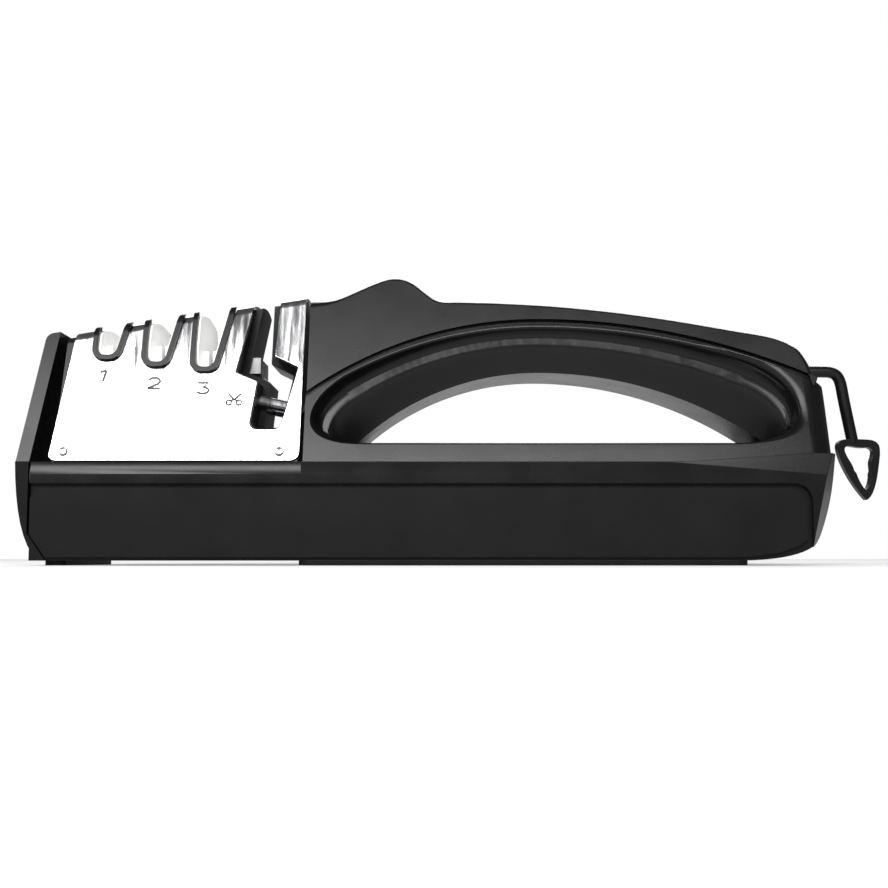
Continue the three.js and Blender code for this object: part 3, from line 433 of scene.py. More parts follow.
# ---------------------------------------------------------------- grip cover
def make_grip_cover():
    """The crowned cap over the handle: flat leaning sides that roll over into a low crown."""
    stations = 170
    top = spline(top_knots, stations)
    run = np.linspace(0, 1, stations + 1)
    from_seam = top[:, 0] - SEAM
    to_rear = REAR - top[:, 0]
    drop = 1.7 + 2.3 * np.clip(1 - from_seam / 9, 0, 1) ** 1.2 + 2.0 * np.clip(1 - to_rear / 9, 0, 1)
    bend = inward_offset(top, drop)
    bend[:, 0] = np.maximum(bend[:, 0], SEAM + 0.2)
    low_x = np.interp(run, [0, 0.9, 1], [SEAM + 0.2, REAR - 9, REAR - 2.6])
    low = np.array([(x, parting(x)) for x in low_x])
    side_steps, crown_steps = 8, 12
    rings = []
    for i in range(stations + 1):
        half = []
        for t in np.linspace(0, 1, side_steps, endpoint=False):
            x, z = low[i] + (bend[i] - low[i]) * t
            half.append((x, -side_y(z), z))
        start = np.array([bend[i][0], -side_y(bend[i][1]), bend[i][1]])
        for t in np.linspace(0, 1, crown_steps + 1):
            angle = t * math.pi / 2
            rise = math.sin(angle) ** 0.95
            inward = math.cos(angle) ** 0.95 if t < 1 else 0.0
            x = start[0] + (top[i][0] - start[0]) * rise
            z = start[2] + (top[i][1] - start[2]) * rise
            half.append((x, start[1] * inward, z))
        rings.append(half + [(x, -y, z) for x, y, z in reversed(half[:-1])])
    columns = len(rings[0])
    points = [p for ring in rings for p in ring]
    faces = grid_faces(len(rings), columns)
    base = len(points)
    for ring in rings:
        x, y, z = ring[0]
        points += [(x, y + 1.6, z), (x, -y - 1.6, z)]
    for i in range(stations):
        a, b = base + 2 * i, base + 2 * i + 2
        faces.append((i * columns, (i + 1) * columns, b, a))
        faces.append((i * columns + columns - 1, a + 1, b + 1, (i + 1) * columns + columns - 1))
        faces.append((a, b, b + 1, a + 1))
    for i in (0, stations):
        faces.append(tuple(i * columns + c for c in range(columns)) + (base + 2 * i + 1, base + 2 * i))
    return mesh_object("grip_cover_shell", points, faces)


cover = make_grip_cover()
HOOK_PIVOT = [(a + b) / 2 for a, b in zip(*box_mm("hook_pin"))]
HOOK_SLOT_HALF = 2.1
HOOK_SLOT_BACK = 3.7
slot_block = box(
    "slot_block",
    (HOOK_PIVOT[0] - HOOK_SLOT_BACK, -HOOK_SLOT_HALF, HOOK_PIVOT[2] - HOOK_SLOT_BACK),
    (REAR + 20, HOOK_SLOT_HALF, BUMP_TOP + 20),
)
cut(cover, slot_block)
tidy(cover, 0.2)
shade(cover, 32)
finish_piece(cover, "gloss_black", "body", "grip_cover")

# ---------------------------------------------------------------- housing: arched frame
OPENING_FLOOR = WAIST + 5
RIDGE_HALF = 10
RIDGE_APEX = 50.7
RIDGE_FRONT_R = 70
RIDGE_REAR_R = 105
RIM_DROP = 2.5


def rear_x(z):
    """Rearmost reach of the handle end at height z."""
    return REAR - 0.0024 * max(z - 40, 0) ** 2 - 0.0003 * max(z - 52, 0) ** 3


def handle_slice(z, inset=0.0):
    """Plan outline of the handle at height z, with rounded rear corners."""
    half = side_y(z) - inset
    back = rear_x(z) - inset
    radius = min(6.5, half * 0.5)
    outline = [(SEAM, -half)]
    outline += arc(back - radius, -half + radius, radius, -90, 0, 10)
    outline += arc(back - radius, half - radius, radius, 0, 90, 10)
    outline.append((SEAM, half))
    return outline


def stacked(name, heights, slice_at):
    """A closed solid through plan outlines with the same number of points."""
    return loft(name, [[(x, y, z) for x, y in slice_at(z)] for z in heights])


def opening_edge():
    """The opening's edge on the side face: top, rear end, floor and front end, with the matching ridge."""
    def rim(x):
        return parting(x) - RIM_DROP

    def ridge(x):
        radius = RIDGE_FRONT_R if x < APEX else RIDGE_REAR_R
        return max(RIDGE_APEX - radius + math.sqrt(max(radius ** 2 - (x - APEX) ** 2, 0)), OPENING_FLOOR)

    front, rear, floor = SEAM + 9.5, REAR - 22, OPENING_FLOOR
    ridge_front, ridge_rear = SEAM + 14.5, REAR - 20.5
    front_tip, rear_tip = (SEAM + 12.1, floor + 0.4), (REAR - 13.6, floor + 0.5)
    pairs = []

    def add(edge, inner):
        pairs.extend(zip(edge[:-1], inner[:-1]))

    xs, inner_xs = np.linspace(front, rear, 97), np.linspace(ridge_front, ridge_rear, 97)
    add([(x, rim(x)) for x in xs], [(x, ridge(x)) for x in inner_xs])
    tip = (REAR - 8.4, floor + 7.5)
    edge = bezier((rear, rim(rear)), (rear + 9, rim(rear) - 3.4), (tip[0] + 0.6, tip[1] + 6.4), tip, 22)
    add(edge, [(x, max(ridge(x), rear_tip[1])) for x in np.linspace(ridge_rear, rear_tip[0], 23)])
    edge = bezier(tip, (tip[0] - 0.5, tip[1] - 4.8), (tip[0] - 8, floor), (tip[0] - 17.5, floor), 22)
    low_rear = (rear_tip[0] - 12, floor)
    add(edge, bezier(rear_tip, (rear_tip[0] - 0.2, floor), (rear_tip[0] - 2, floor), low_rear, 22))
    start, end = tip[0] - 17.5, SEAM + 15
    add([(x, floor) for x in np.linspace(start, end, 49)],
        [(x, floor) for x in np.linspace(rear_tip[0] - 12, front_tip[0] + 6, 49)])
    tip = (SEAM + 1.75, floor + 6.4)
    edge = bezier((end, floor), (end - 7, floor), (tip[0], tip[1] - 4.9), tip, 18)
    low_front = (front_tip[0] + 6, floor)
    add(edge, bezier(low_front, (front_tip[0] + 1, floor), (front_tip[0], floor), front_tip, 18))
    edge = bezier(tip, (tip[0], tip[1] + 4.2), (front - 4.4, rim(front) - 3.3), (front, rim(front)), 18)
    add(edge, [(x, max(ridge(x), front_tip[1])) for x in np.linspace(front_tip[0], ridge_front, 19)])
    return pairs


# The opening's wall: share of the way from its edge to the ridge, and share of the depth there
WALL_PROFILE = [
    (0.035, 0.16), (0.07, 0.29), (0.115, 0.40), (0.17, 0.475), (0.23, 0.50), (0.29, 0.485),
    (0.35, 0.47), (0.41, 0.485), (0.48, 0.53), (0.58, 0.63), (0.72, 0.77), (0.86, 0.90),
    (0.96, 0.975), (1.0, 1.0),
]


def opening_plug():
    """The space of the finger opening, with its rounded rim and shaped walls, as one closed solid."""
    pairs = opening_edge()
    count = len(pairs)
    edge = np.array([p[0] for p in pairs])
    inner = np.array([p[1] for p in pairs])
    tangent = np.roll(edge, -1, axis=0) - np.roll(edge, 1, axis=0)
    tangent /= np.linalg.norm(tangent, axis=1)[:, None]
    outward = np.stack([-tangent[:, 1], tangent[:, 0]], axis=1)
    rearward = np.clip((edge[:, 0] - (REAR - 34)) / 20, 0, 1)
    upward = np.clip((edge[:, 1] - OPENING_FLOOR) / 6, 0, 1)
    radius = 0.55 + 1.9 * (rearward * upward)
    wall = np.clip((edge[:, 1] - OPENING_FLOOR) / 5, 0, 1)
    rings = []

    def ring(xz, y):
        rings.append([(x, -yy, z) for (x, z), yy in zip(xz, y)])

    flare = edge + outward * radius[:, None]
    flare_y = np.array([side_y(z) for z in flare[:, 1]])
    edge_y = np.array([side_y(z) for z in edge[:, 1]])
    ring(flare, flare_y + 6)
    first = edge + (inner - edge) * WALL_PROFILE[0][0]
    first_y = edge_y + (RIDGE_HALF - edge_y) * WALL_PROFILE[0][1]
    first_y = np.minimum(first_y, edge_y - radius * 0.8)
    for t in np.linspace(0, 1, 6):
        xz = flare * (1 - t) ** 2 + edge * 2 * t * (1 - t) + first * t * t
        y = flare_y * (1 - t) ** 2 + edge_y * 2 * t * (1 - t) + first_y * t * t
        ring(xz, y)
    for along, depth in WALL_PROFILE[1:]:
        mixed = wall * depth + (1 - wall) * (0.2 + 0.8 * along)
        wall_y = np.minimum(edge_y + (RIDGE_HALF - edge_y) * mixed, first_y - 0.02)
        ring(edge + (inner - edge) * along, wall_y)
    ring(inner, np.full(count, RIDGE_HALF * 0.5))
    rings += [[(x, -y, z) for x, y, z in r] for r in reversed(rings)]
    return loft("opening_plug", rings)


def above_arch(name, lift):
    """Everything above an arch that follows the cover's lower edge, lift higher."""
    xs = np.linspace(SEAM - 2, REAR + 4, 90)
    outline = [(x, parting(min(max(x, SEAM), REAR)) + lift) for x in xs]
    outline += [(REAR + 4, CLEAR_TOP), (SEAM - 2, CLEAR_TOP)]
    return prism(name, outline, "y", -REACH, REACH)


def parting_groove(depth, low, high):
    """The gap under the cover's edge, on both sides and round the rear."""
    xs = np.linspace(SEAM - 1, REAR + 1, 110)
    rings = []
    for x in xs:
        z = parting(min(max(x, SEAM), REAR))
        inside = side_y(z) - depth - max(x - (REAR - 3), 0) * 6
        rings.append([(x, -30, z + low), (x, -inside, z + low), (x, -inside, z + high), (x, -30, z + high)])
    return [loft("groove", [[(x, side * y, z) for x, y, z in ring] for ring in rings]) for side in (1, -1)]


heights = list(np.linspace(WAIST - 0.4, BUMP_TOP - 8, 26))
frame_form = stacked("housing_frame", heights, handle_slice)
cut(frame_form, above_arch("above", -0.1))
for groove in parting_groove(1.5, -1.25, 0.4):
    cut(frame_form, groove)
for groove in parting_groove(0.22, -1.62, -1.48):
    cut(frame_form, groove)
cut(frame_form, opening_plug())
cut(frame_form, box(
    "hook_mouth",
    (HOOK_PIVOT[0] - 5, -HOOK_SLOT_HALF, HOOK_PIVOT[2] - 6),
    (REAR + 9, HOOK_SLOT_HALF, SLOT_TOP),
))
tidy(frame_form, 0.15)
shade(frame_form, 28)
finish_piece(frame_form, "black_plastic", "body", "main_housing")


# ---------------------------------------------------------------- housing: base
BASE_TOP_REAR = WAIST + 2.2
CREASE_START = REAR - 37.5


def base_outline():
    """Side view of the base, from the nose joint round the swept rear end."""
    sweep_start = REAR - 27
    front = housing_low[0]
    points = [(front, BOTTOM), (sweep_start, BOTTOM)]
    points += bezier((sweep_start, BOTTOM), (REAR - 13, BOTTOM), (REAR - 6, 3.2), (REAR - 3.6, 8.6), 16)[1:]
    points += bezier((REAR - 3.6, 8.6), (REAR - 1.2, 13.5), (REAR - 0.2, 17), (REAR, 23), 10)[1:]
    points += [(REAR, BASE_TOP_REAR), (REAR - 6.5, BASE_TOP_REAR), (CREASE_START, WAIST), (front, WAIST)]
    return points


def slice_plane(item, point, normal):
    """Trims a closed convex piece to the side of a plane that its normal points away from."""
    work = bmesh.new()
    work.from_mesh(item.data)
    geometry = work.verts[:] + work.edges[:] + work.faces[:]
    done = bmesh.ops.bisect_plane(
        work, geom=geometry, plane_co=Vector(point) * MM, plane_no=Vector(normal), clear_outer=True,
    )
    edges = [e for e in done["geom_cut"] if isinstance(e, bmesh.types.BMEdge)]
    bmesh.ops.contextual_create(work, geom=edges)
    bmesh.ops.recalc_face_normals(work, faces=work.faces)
    work.to_mesh(item.data)
    work.free()


def plane_through(a, b, c):
    a, b, c = Vector(a), Vector(b), Vector(c)
    normal = (b - a).cross(c - a).normalized()
    return a, normal if normal.y * a.y > 0 else -normal


base = prism("housing_base", base_outline(), "y", -HALF, HALF)
for side in (-1, 1):
    y = side * HALF
    slice_plane(base, *plane_through(
        (REAR - 5.6, y, 12.5), (REAR - 4, y, 19.7), (REAR - 0.5, side * (HALF - 4.6), 23)))
    slice_plane(base, *plane_through(
        (REAR - 5.6, y, 12.5), (REAR - 7.3, y, 4.4), (REAR - 2.6, side * (HALF - 3.9), 8.7)))
    slice_plane(base, *plane_through(
        (CREASE_START, y, WAIST - 0.6), (REAR - 7.9, y, WAIST - 3),
        (REAR - 7.7, side * (HALF - 0.8), BASE_TOP_REAR)))
soften(base, 0.35, 3, 8)
LEDGE_DEPTH = 0.75
LEDGE_DROP = 1.55
LEDGE_FOOT = 3.6
for side in (-1, 1):
    inner, outer = side * (HALF - LEDGE_DEPTH), side * (HALF + 1)
    ledge = [(inner, WAIST - LEDGE_DROP), (side * (HALF + 0.2), WAIST - LEDGE_FOOT),
             (outer, WAIST - LEDGE_FOOT), (outer, WAIST + 1), (inner, WAIST + 1)]
    cut(base, prism("ledge", ledge, "x", FRONT - 1, SEAM - 0.3))
panel_low, panel_high = box_mm("left_side_panel")
POCKET_FRONT, POCKET_REAR = panel_low[0] - 4, panel_high[0] + 1.5
POCKET_FOOT, POCKET_TOP = panel_low[2] - 3, panel_high[2] + 1.15
POCKET_CORNER_R = 4.6
POCKET_DEPTH = 1.35
for side in (-1, 1):
    pocket = rounded_box(POCKET_FRONT, POCKET_REAR, POCKET_FOOT, POCKET_TOP, POCKET_CORNER_R)
    recess = prism("recess", pocket, "y", side * (HALF - POCKET_DEPTH), side * (HALF + 2))
    cut(base, recess)
tidy(base, 0.2)
shade(base, 30)
finish_piece(base, "black_plastic", "body", "main_housing")


# ---------------------------------------------------------------- head form
ROOF_FRONT = 61.9
ROOF_RISE = 0.158
CROWN_R = 42
BEND_R = 3.4
NOSE_RUN = 0.098


def roof_height(x):
    return ROOF_FRONT + ROOF_RISE * (x - PLATE_FRONT)


def head_section(x, lift=0.0, bottom=WAIST):
    """Half section of the head at x, from the bottom of a side up round the bend to the crest."""
    roof = roof_height(x)

    def crown(y):
        return roof - CROWN_R + math.sqrt(CROWN_R ** 2 - y * y)

    low, high = 0.0, HALF
    for _ in range(40):
        middle = (low + high) / 2
        if side_y(crown(middle)) > middle:
            low = middle
        else:
            high = middle
    corner = (low, crown(low))
    lean = math.atan(LEAN)
    side_dir = np.array([math.sin(lean), -math.cos(lean)])
    slope = math.asin(corner[0] / CROWN_R)
    roof_dir = np.array([-math.cos(slope), math.sin(slope)])
    turn = math.acos(np.clip(np.dot(side_dir, roof_dir), -1, 1))
    reach = BEND_R / math.tan(turn / 2)
    corner = np.array(corner)
    start, end = corner + side_dir * reach, corner + roof_dir * reach
    points = [(side_y(bottom), bottom), tuple(start)]
    steps = 8
    for i in range(1, steps + 1):
        t = i / steps
        points.append(tuple(start * (1 - t) ** 2 + corner * 2 * t * (1 - t) + end * t * t))
    for y in np.linspace(end[0], 0, 7)[1:]:
        points.append((y, crown(y)))
    if lift:
        points = np.array(points)
        tangent = np.gradient(points, axis=0)
        tangent /= np.linalg.norm(tangent, axis=1)[:, None]
        points = points + np.stack([tangent[:, 1], -tangent[:, 0]], axis=1) * lift
        points[-1][0] = 0
        points[0][1] = bottom
        points = [tuple(p) for p in points]
    return points


def head_form(name, stations, lift=0.0, bottom=WAIST):
    """A solid of the head between the first and last station."""
    rings = []
    for x in stations:
        half = head_section(x, lift, bottom)
        rings.append([(x, -y, z) for y, z in half] + [(x, y, z) for y, z in reversed(half[:-1])])
    return loft(name, rings)


def head_shell(name, stations, outer, inner):
    """A bent sheet over the head, between two lifts."""
    rings = []
    for x in stations:
        out, inn = head_section(x, outer), head_section(x, inner)
        ring = [(x, -y, z) for y, z in out] + [(x, y, z) for y, z in reversed(out[:-1])]
        ring += [(x, y, z) for y, z in inn] + [(x, -y, z) for y, z in reversed(inn[:-1])]
        rings.append(ring)
    columns = len(rings[0])
    faces = grid_faces(len(rings), columns, close_columns=True)
    count = columns // 2
    for r in (0, len(rings) - 1):
        for c in range(count - 1):
            base_index = r * columns
            last = base_index + columns - 1
            faces.append((base_index + c, base_index + c + 1, last - 1 - c, last - c))
    return mesh_object(name, [p for r in rings for p in r], faces)


# ---------------------------------------------------------------- slots
slot_centers = {}
for grit in ("carbide", "diamond", "ceramic"):
    low, high = box_mm(f"{grit}_holder")
    slot_centers[grit] = (low[0] + high[0]) / 2
SLOTS = [("carbide", 54.6), ("diamond", 52.7), ("ceramic", 51.3)]
SLOT_HALF = 2.6
RIM_WIDTH = 1.35
RIM_PROUD = 0.95
RIM_INNER_HALF = 11.2
LINER_WALL = 0.5
SCISSOR_MIDDLE = FRONT + 62.3
SCISSOR_LIP_HALF = 8
SCISSOR_THROAT_STEP = 1.7


def slot_outline(center, floor, grow=0.0):
    """A knife slot: an upright front edge, a rear edge that leans back, and a round floor."""
    half = SLOT_HALF + grow
    bottom = floor - grow
    top = SLOT_TOP
    radius = half * 0.82
    lean = 0.2
    points = arc(center + half - radius, bottom + radius, radius, -90, -12, 8)
    points.append((center + half + (top - bottom) * lean, top))
    points.append((center - half, top))
    points += arc(center - half + radius, bottom + radius, radius, 180, 270, 8)
    return points


def scissor_outline(grow=0.0):
    """The scissors slot: a leaning upper channel, a step to the rear, and a narrow foot."""
    m = SCISSOR_MIDDLE
    corners = [
        (m - 3.2, 34.6, 1.4), (m + 2.8, 34.6, 1.4), (m + 3.7, 36.2, 0.8), (m + 7.2, 51.2, 0.4),
        (m + 1.0, 54.2, 0.5),
        (m + 2.0, 78.7, 0.5), (m - 2.8, 78.7, 0.5), (m - 8.6, 50.0, 0.4), (m - 2.8, 47.4, 0.4),
        (m - 4.2, 36.0, 0.8),
    ]
    points = []
    count = len(corners)
    area = sum(corners[i][0] * corners[(i + 1) % count][1] - corners[(i + 1) % count][0] * corners[i][1]
               for i in range(count))
    sign = 1 if area > 0 else -1
    grown = []
    for i in range(count):
        before, here, after = (np.array(corners[j % count][:2], float) for j in (i - 1, i, i + 1))
        a, b = here - before, after - here
        a, b = a / np.linalg.norm(a), b / np.linalg.norm(b)
        na, nb = sign * np.array([a[1], -a[0]]), sign * np.array([b[1], -b[0]])
        grown.append(here + (na + nb) * grow / (1 + float(np.dot(na, nb))))
    for i in range(count):
        here, radius = grown[i], corners[i][2]
        before, after = grown[i - 1], grown[(i + 1) % count]
        a, b = before - here, after - here
        start = here + a / np.linalg.norm(a) * min(radius, np.linalg.norm(a) * 0.4)
        end = here + b / np.linalg.norm(b) * min(radius, np.linalg.norm(b) * 0.4)
        for t in np.linspace(0, 1, 5):
            points.append(tuple(start * (1 - t) ** 2 + here * 2 * t * (1 - t) + end * t * t))
    return points


# ---------------------------------------------------------------- cover plate
SHEET_THICKNESS = 0.75
plate = head_shell("cover_sheet", np.linspace(PLATE_FRONT - 1, HEAD_REAR, 24), 0.0, -SHEET_THICKNESS)
for grit, floor_z in SLOTS:
    cut(plate, prism("slot", slot_outline(slot_centers[grit], floor_z, RIM_WIDTH + 0.08), "y", -REACH, REACH))
cut(plate, prism("slot", scissor_outline(0.25), "y", -REACH, REACH))
trim_top = PLATE_FRONT + (SLOT_TOP - WAIST) * NOSE_RUN
trim = [(PLATE_FRONT, WAIST - 2), (trim_top, SLOT_TOP), (FRONT - 9, SLOT_TOP), (FRONT - 9, WAIST - 2)]
cut(plate, prism("trim", trim, "y", -REACH, REACH))
CORNER_R = 2.2
PLATE_LIFT = 0.35
for start, center_x in ((180, PLATE_FRONT + 0.1 + CORNER_R), (270, HEAD_REAR - CORNER_R)):
    away = -1 if start == 180 else 1
    curve = arc(center_x, WAIST + PLATE_LIFT + CORNER_R, CORNER_R, start, start + 90, 10)
    if away == 1:
        curve = list(reversed(curve))
    outside = center_x + away * (CORNER_R + 2)
    piece = [(outside, WAIST - 1), (outside, WAIST + PLATE_LIFT + CORNER_R)]
    piece += curve + [(center_x, WAIST - 1)]
    cut(plate, prism("corner", piece, "y", -REACH, REACH))
lower_edge = [(FRONT, WAIST - 2), (SEAM, WAIST - 2), (SEAM, WAIST + PLATE_LIFT), (FRONT, WAIST + PLATE_LIFT)]
cut(plate, prism("lower_edge", lower_edge, "y", -REACH, REACH))
tidy(plate, 0.2)
soften(plate, 0.1, 2, 40)
shade(plate, 30)
finish_piece(plate, "stainless", "body", "cover_plate")


# ---------------------------------------------------------------- slot module
MODULE_DROP = 0.8
CAVITY_DROP = 3.0
inner_stations = np.linspace(PLATE_FRONT + 1.2, HEAD_REAR - 0.5, 20)
core = head_form("module_body", inner_stations, -MODULE_DROP, WAIST - 0.4)
for grit, floor_z in SLOTS:
    cut(core, prism("slot", slot_outline(slot_centers[grit], floor_z, 0.0), "y", -REACH, REACH))
for inner, outer in ((-REACH, -SCISSOR_LIP_HALF), (SCISSOR_LIP_HALF, REACH)):
    cut(core, prism("slot_mouth", scissor_outline(0.0), "y", inner, outer))
throat = scissor_outline(-SCISSOR_THROAT_STEP)
cut(core, prism("slot_throat", throat, "y", -SCISSOR_LIP_HALF - 1, SCISSOR_LIP_HALF + 1))
cavity_stations = np.linspace(PLATE_FRONT + 4.5, SCISSOR_MIDDLE - 11.5, 12)
cut(core, head_form("cavity", cavity_stations, -CAVITY_DROP, WAIST - 2))
tidy(core, 0.2)
soften(core, 0.15, 2, 40)
shade(core, 30)
finish_piece(core, "gloss_black", "body", "slot_module")

RIM_FOOT = WAIST + 4
LINER_INNER_HALF = RIM_INNER_HALF + 3
for index, (grit, floor_z) in enumerate(SLOTS):
    center = slot_centers[grit]
    stations = np.linspace(center - 8, center + 11, 14)
    before, behind = center - 12, center + 20
    rim = head_form(f"slot_rim_{index + 1}", stations, RIM_PROUD, RIM_FOOT)
    common(rim, prism("outer", slot_outline(center, floor_z, RIM_WIDTH), "y", -REACH, REACH))
    cut(rim, prism("inner", slot_outline(center, floor_z, 0.0), "y", -REACH, REACH))
    cut(rim, box("middle", (before, -RIM_INNER_HALF, WAIST), (behind, RIM_INNER_HALF, CLEAR_TOP)))
    tidy(rim, 0.2)
    soften(rim, 0.38, 4, 35)
    shade(rim, 40)
    finish_piece(rim, "gloss_black", "body", "slot_module")
    liner = head_form(f"slot_liner_{index + 1}", stations, -LINER_WALL, RIM_FOOT)
    common(liner, prism("outer", slot_outline(center, floor_z, 0.02), "y", -REACH, REACH))
    cut(liner, prism("inner", slot_outline(center, floor_z, -LINER_WALL), "y", -REACH, REACH))
    span = box("span", (before, -LINER_INNER_HALF, WAIST), (behind, LINER_INNER_HALF, CLEAR_TOP))
    common(liner, span)
    tidy(liner, 0.2)
    shade(liner, 40)
    finish_piece(liner, "white_plastic", "body")


# ---------------------------------------------------------------- sole
for name, corner in (("sole_pad", 3), ("front_foot", 1.5)):
    low, high = box_mm(name)
    outline = rounded_box(low[0], high[0], low[1], high[1], corner, 6)
    pad = prism(f"{name}_skin", outline, "z", 0, BOTTOM + 0.15)
    soften(pad, 0.12, 2, 40)
    shade(pad, 30)
    finish_piece(pad, "soft_black", "body", name)


# ---------------------------------------------------------------- carried-over CAD nodes
CARRIED = {
    "black_plastic": ("nose_cap", "base_plate"),
    "gloss_black": ("module_floor",),
    "soft_black": ("left_side_panel", "right_side_panel"),
    "steel": ("scissor_guide", "scissor_rod_1", "scissor_rod_2", "hook_pin")
    + tuple(f"plate_screw_{i}" for i in (1, 2, 3, 4)) + tuple(f"base_screw_{i}" for i in (1, 2, 3, 4)),
    "carbide": ("carbide_blade_1", "carbide_blade_2"),
    "diamond": ("diamond_rod_1", "diamond_rod_2"),
    "ceramic": ("ceramic_rod_1", "ceramic_rod_2"),
    "white_plastic": ("carbide_holder", "diamond_holder", "ceramic_holder"),
}
EDGE_ROUNDING = {"nose_cap": 0.5, "left_side_panel": 0.22, "right_side_panel": 0.22}
for look, names in CARRIED.items():
    for name in names:
        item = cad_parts[name]
        item.data.materials.clear()
        item.data.materials.append(LOOKS[look])
        rounding = item.modifiers.new("edges", "BEVEL")
        rounding.width = EDGE_ROUNDING.get(name, 0.12) * MM
        rounding.segments = 3
        rounding.limit_method = "ANGLE"
        rounding.angle_limit = math.radians(32)
        rounding.use_clamp_overlap = True


# ---------------------------------------------------------------- hanging hook
def tube(name, route, radius, sides=20):
    """A round rod along a flat route in the XZ plane, closed at its ends."""
    route = np.array(route, float)
    tangent = np.gradient(route, axis=0)
    tangent /= np.linalg.norm(tangent, axis=1)[:, None]
    rings = []
    for (x, z), (tx, tz) in zip(route, tangent):
        ring = []
        for k in range(sides):
            angle = 2 * math.pi * k / sides
            out = radius * math.cos(angle)
            ring.append((x - tz * out, radius * math.sin(angle), z + tx * out))
        rings.append(ring)
    return loft(name, rings)


hook_low, hook_high = box_mm("hanging_hook")
ROD_R = (hook_high[1] - hook_low[1]) / 2
EYE_R = 3.05
PIN_HOLE_R = 1.25
LOOP_WIDTH = 11.6
LOOP_HALF = ROD_R * 0.82
HOOK_REACH = 9
pivot_x, pivot_z = HOOK_PIVOT[0], HOOK_PIVOT[2]
elbow = (pivot_x + 12.0, pivot_z - 0.9)
arm_end = (pivot_x + 15.4, pivot_z - 19.6)
shank_z = pivot_z - 0.1
shank_end = (elbow[0] - 3.4, shank_z)
route = bezier((pivot_x, pivot_z), (pivot_x + 3, pivot_z), (pivot_x + 6, shank_z), shank_end, 10)
below_elbow = (elbow[0] + 0.75, elbow[1] - 3.4)
route += bezier(route[-1], (elbow[0] - 0.6, shank_z), (elbow[0] + 0.3, elbow[1] - 0.6), below_elbow, 10)[1:]
above_end = (arm_end[0] - 0.9, arm_end[1] + 5)
route += bezier(route[-1], (elbow[0] + 1.4, elbow[1] - 8), above_end, arm_end, 14)[1:]
hook = tube("hanging_hook_rod", resample(route, 46), ROD_R * 0.97)
eye = prism("eye", arc(pivot_x, pivot_z, EYE_R, 0, 352, 44), "y", -ROD_R, ROD_R)
combine(hook, eye, "UNION")
loop_low, loop_top = hook_low[2], arm_end[1] + 0.9
loop_left, loop_right = hook_high[0] - LOOP_WIDTH, hook_high[0]
tip = (loop_left + 7.5, loop_low)
LOOP_BAND = 2.3
LOOP_BAND_TIP = 2.75
back = (loop_left, loop_top - 2.2)
shoulder = (loop_right - 1.9, loop_top - 0.3)
side_point = (loop_right - 0.1, loop_top - 4.2)
outer = bezier(back, (loop_left, loop_top - 0.4), (loop_left + 1, loop_top), (loop_left + 2.6, loop_top), 8)
outer += bezier(outer[-1], (loop_left + 6, loop_top + 0.1), (loop_right - 2.6, loop_top), shoulder, 8)[1:]
outer += bezier(outer[-1], (loop_right - 0.1, loop_top - 1), (loop_right, loop_top - 2), side_point, 8)[1:]
outer += bezier(outer[-1], (loop_right - 0.7, loop_top - 8.5), (tip[0] + 2.6, tip[1] + 1.2), tip, 12)[1:]
outer += bezier(tip, (tip[0] - 2.4, tip[1] + 2.4), (loop_left + 0.6, loop_top - 7.4), back, 12)[1:-1]
ring = prism("loop", outer, "y", -LOOP_HALF, LOOP_HALF)
middle = np.mean(np.array(outer), axis=0)
inside = []
for x, z in outer:
    direction = np.array([x, z]) - middle
    length = np.linalg.norm(direction)
    shrink = LOOP_BAND_TIP if z < loop_low + 5 else LOOP_BAND
    inside.append(tuple(middle + direction * (length - shrink) / length))
cut(ring, prism("loop_hole", inside, "y", -HOOK_REACH, HOOK_REACH))
soften(ring, 0.6, 4, 45)
combine(hook, ring, "UNION")
pin_hole = arc(pivot_x, pivot_z, PIN_HOLE_R, 0, 345, 23)
cut(hook, prism("pin_hole", pin_hole, "y", -HOOK_REACH, HOOK_REACH))
tidy(hook, 0.2)
shade(hook, 34)
finish_piece(hook, "gloss_black", "hook", "hanging_hook")


# ---------------------------------------------------------------- etched marks
def on_side(x, z, lift):
    """A point on the plate's near or far face, lift off it."""
    return (x, -(side_y(z) + lift * math.cos(math.atan(LEAN))), z + lift * math.sin(math.atan(LEAN)))


MARK_LIFT = 0.12
MARK_SINK = 0.05


def mark(name, strokes, width, side):
    """Thin raised strokes on the plate: each stroke is a list of (x, z) points."""
    points, faces = [], []
    for stroke in strokes:
        line = np.array(stroke, float)
        tangent = np.gradient(line, axis=0)
        tangent /= np.linalg.norm(tangent, axis=1)[:, None]
        across = np.stack([-tangent[:, 1], tangent[:, 0]], axis=1) * width / 2
        first = len(points)
        for lift in (-MARK_SINK, MARK_LIFT):
            for sign in (1, -1):
                for x, z in line + across * sign:
                    px, py, pz = on_side(x, z, lift)
                    points.append((px, py * side, pz))
        n = len(line)
        a, b, c, d = first, first + n, first + 2 * n, first + 3 * n
        for i in range(n - 1):
            faces += [(a + i, a + i + 1, b + i + 1, b + i), (c + i, d + i, d + i + 1, c + i + 1),
                      (a + i, c + i, c + i + 1, a + i + 1), (b + i, b + i + 1, d + i + 1, d + i)]
        faces += [(a, b, d, c), (a + n - 1, c + n - 1, d + n - 1, b + n - 1)]
    return mesh_object(name, points, faces)


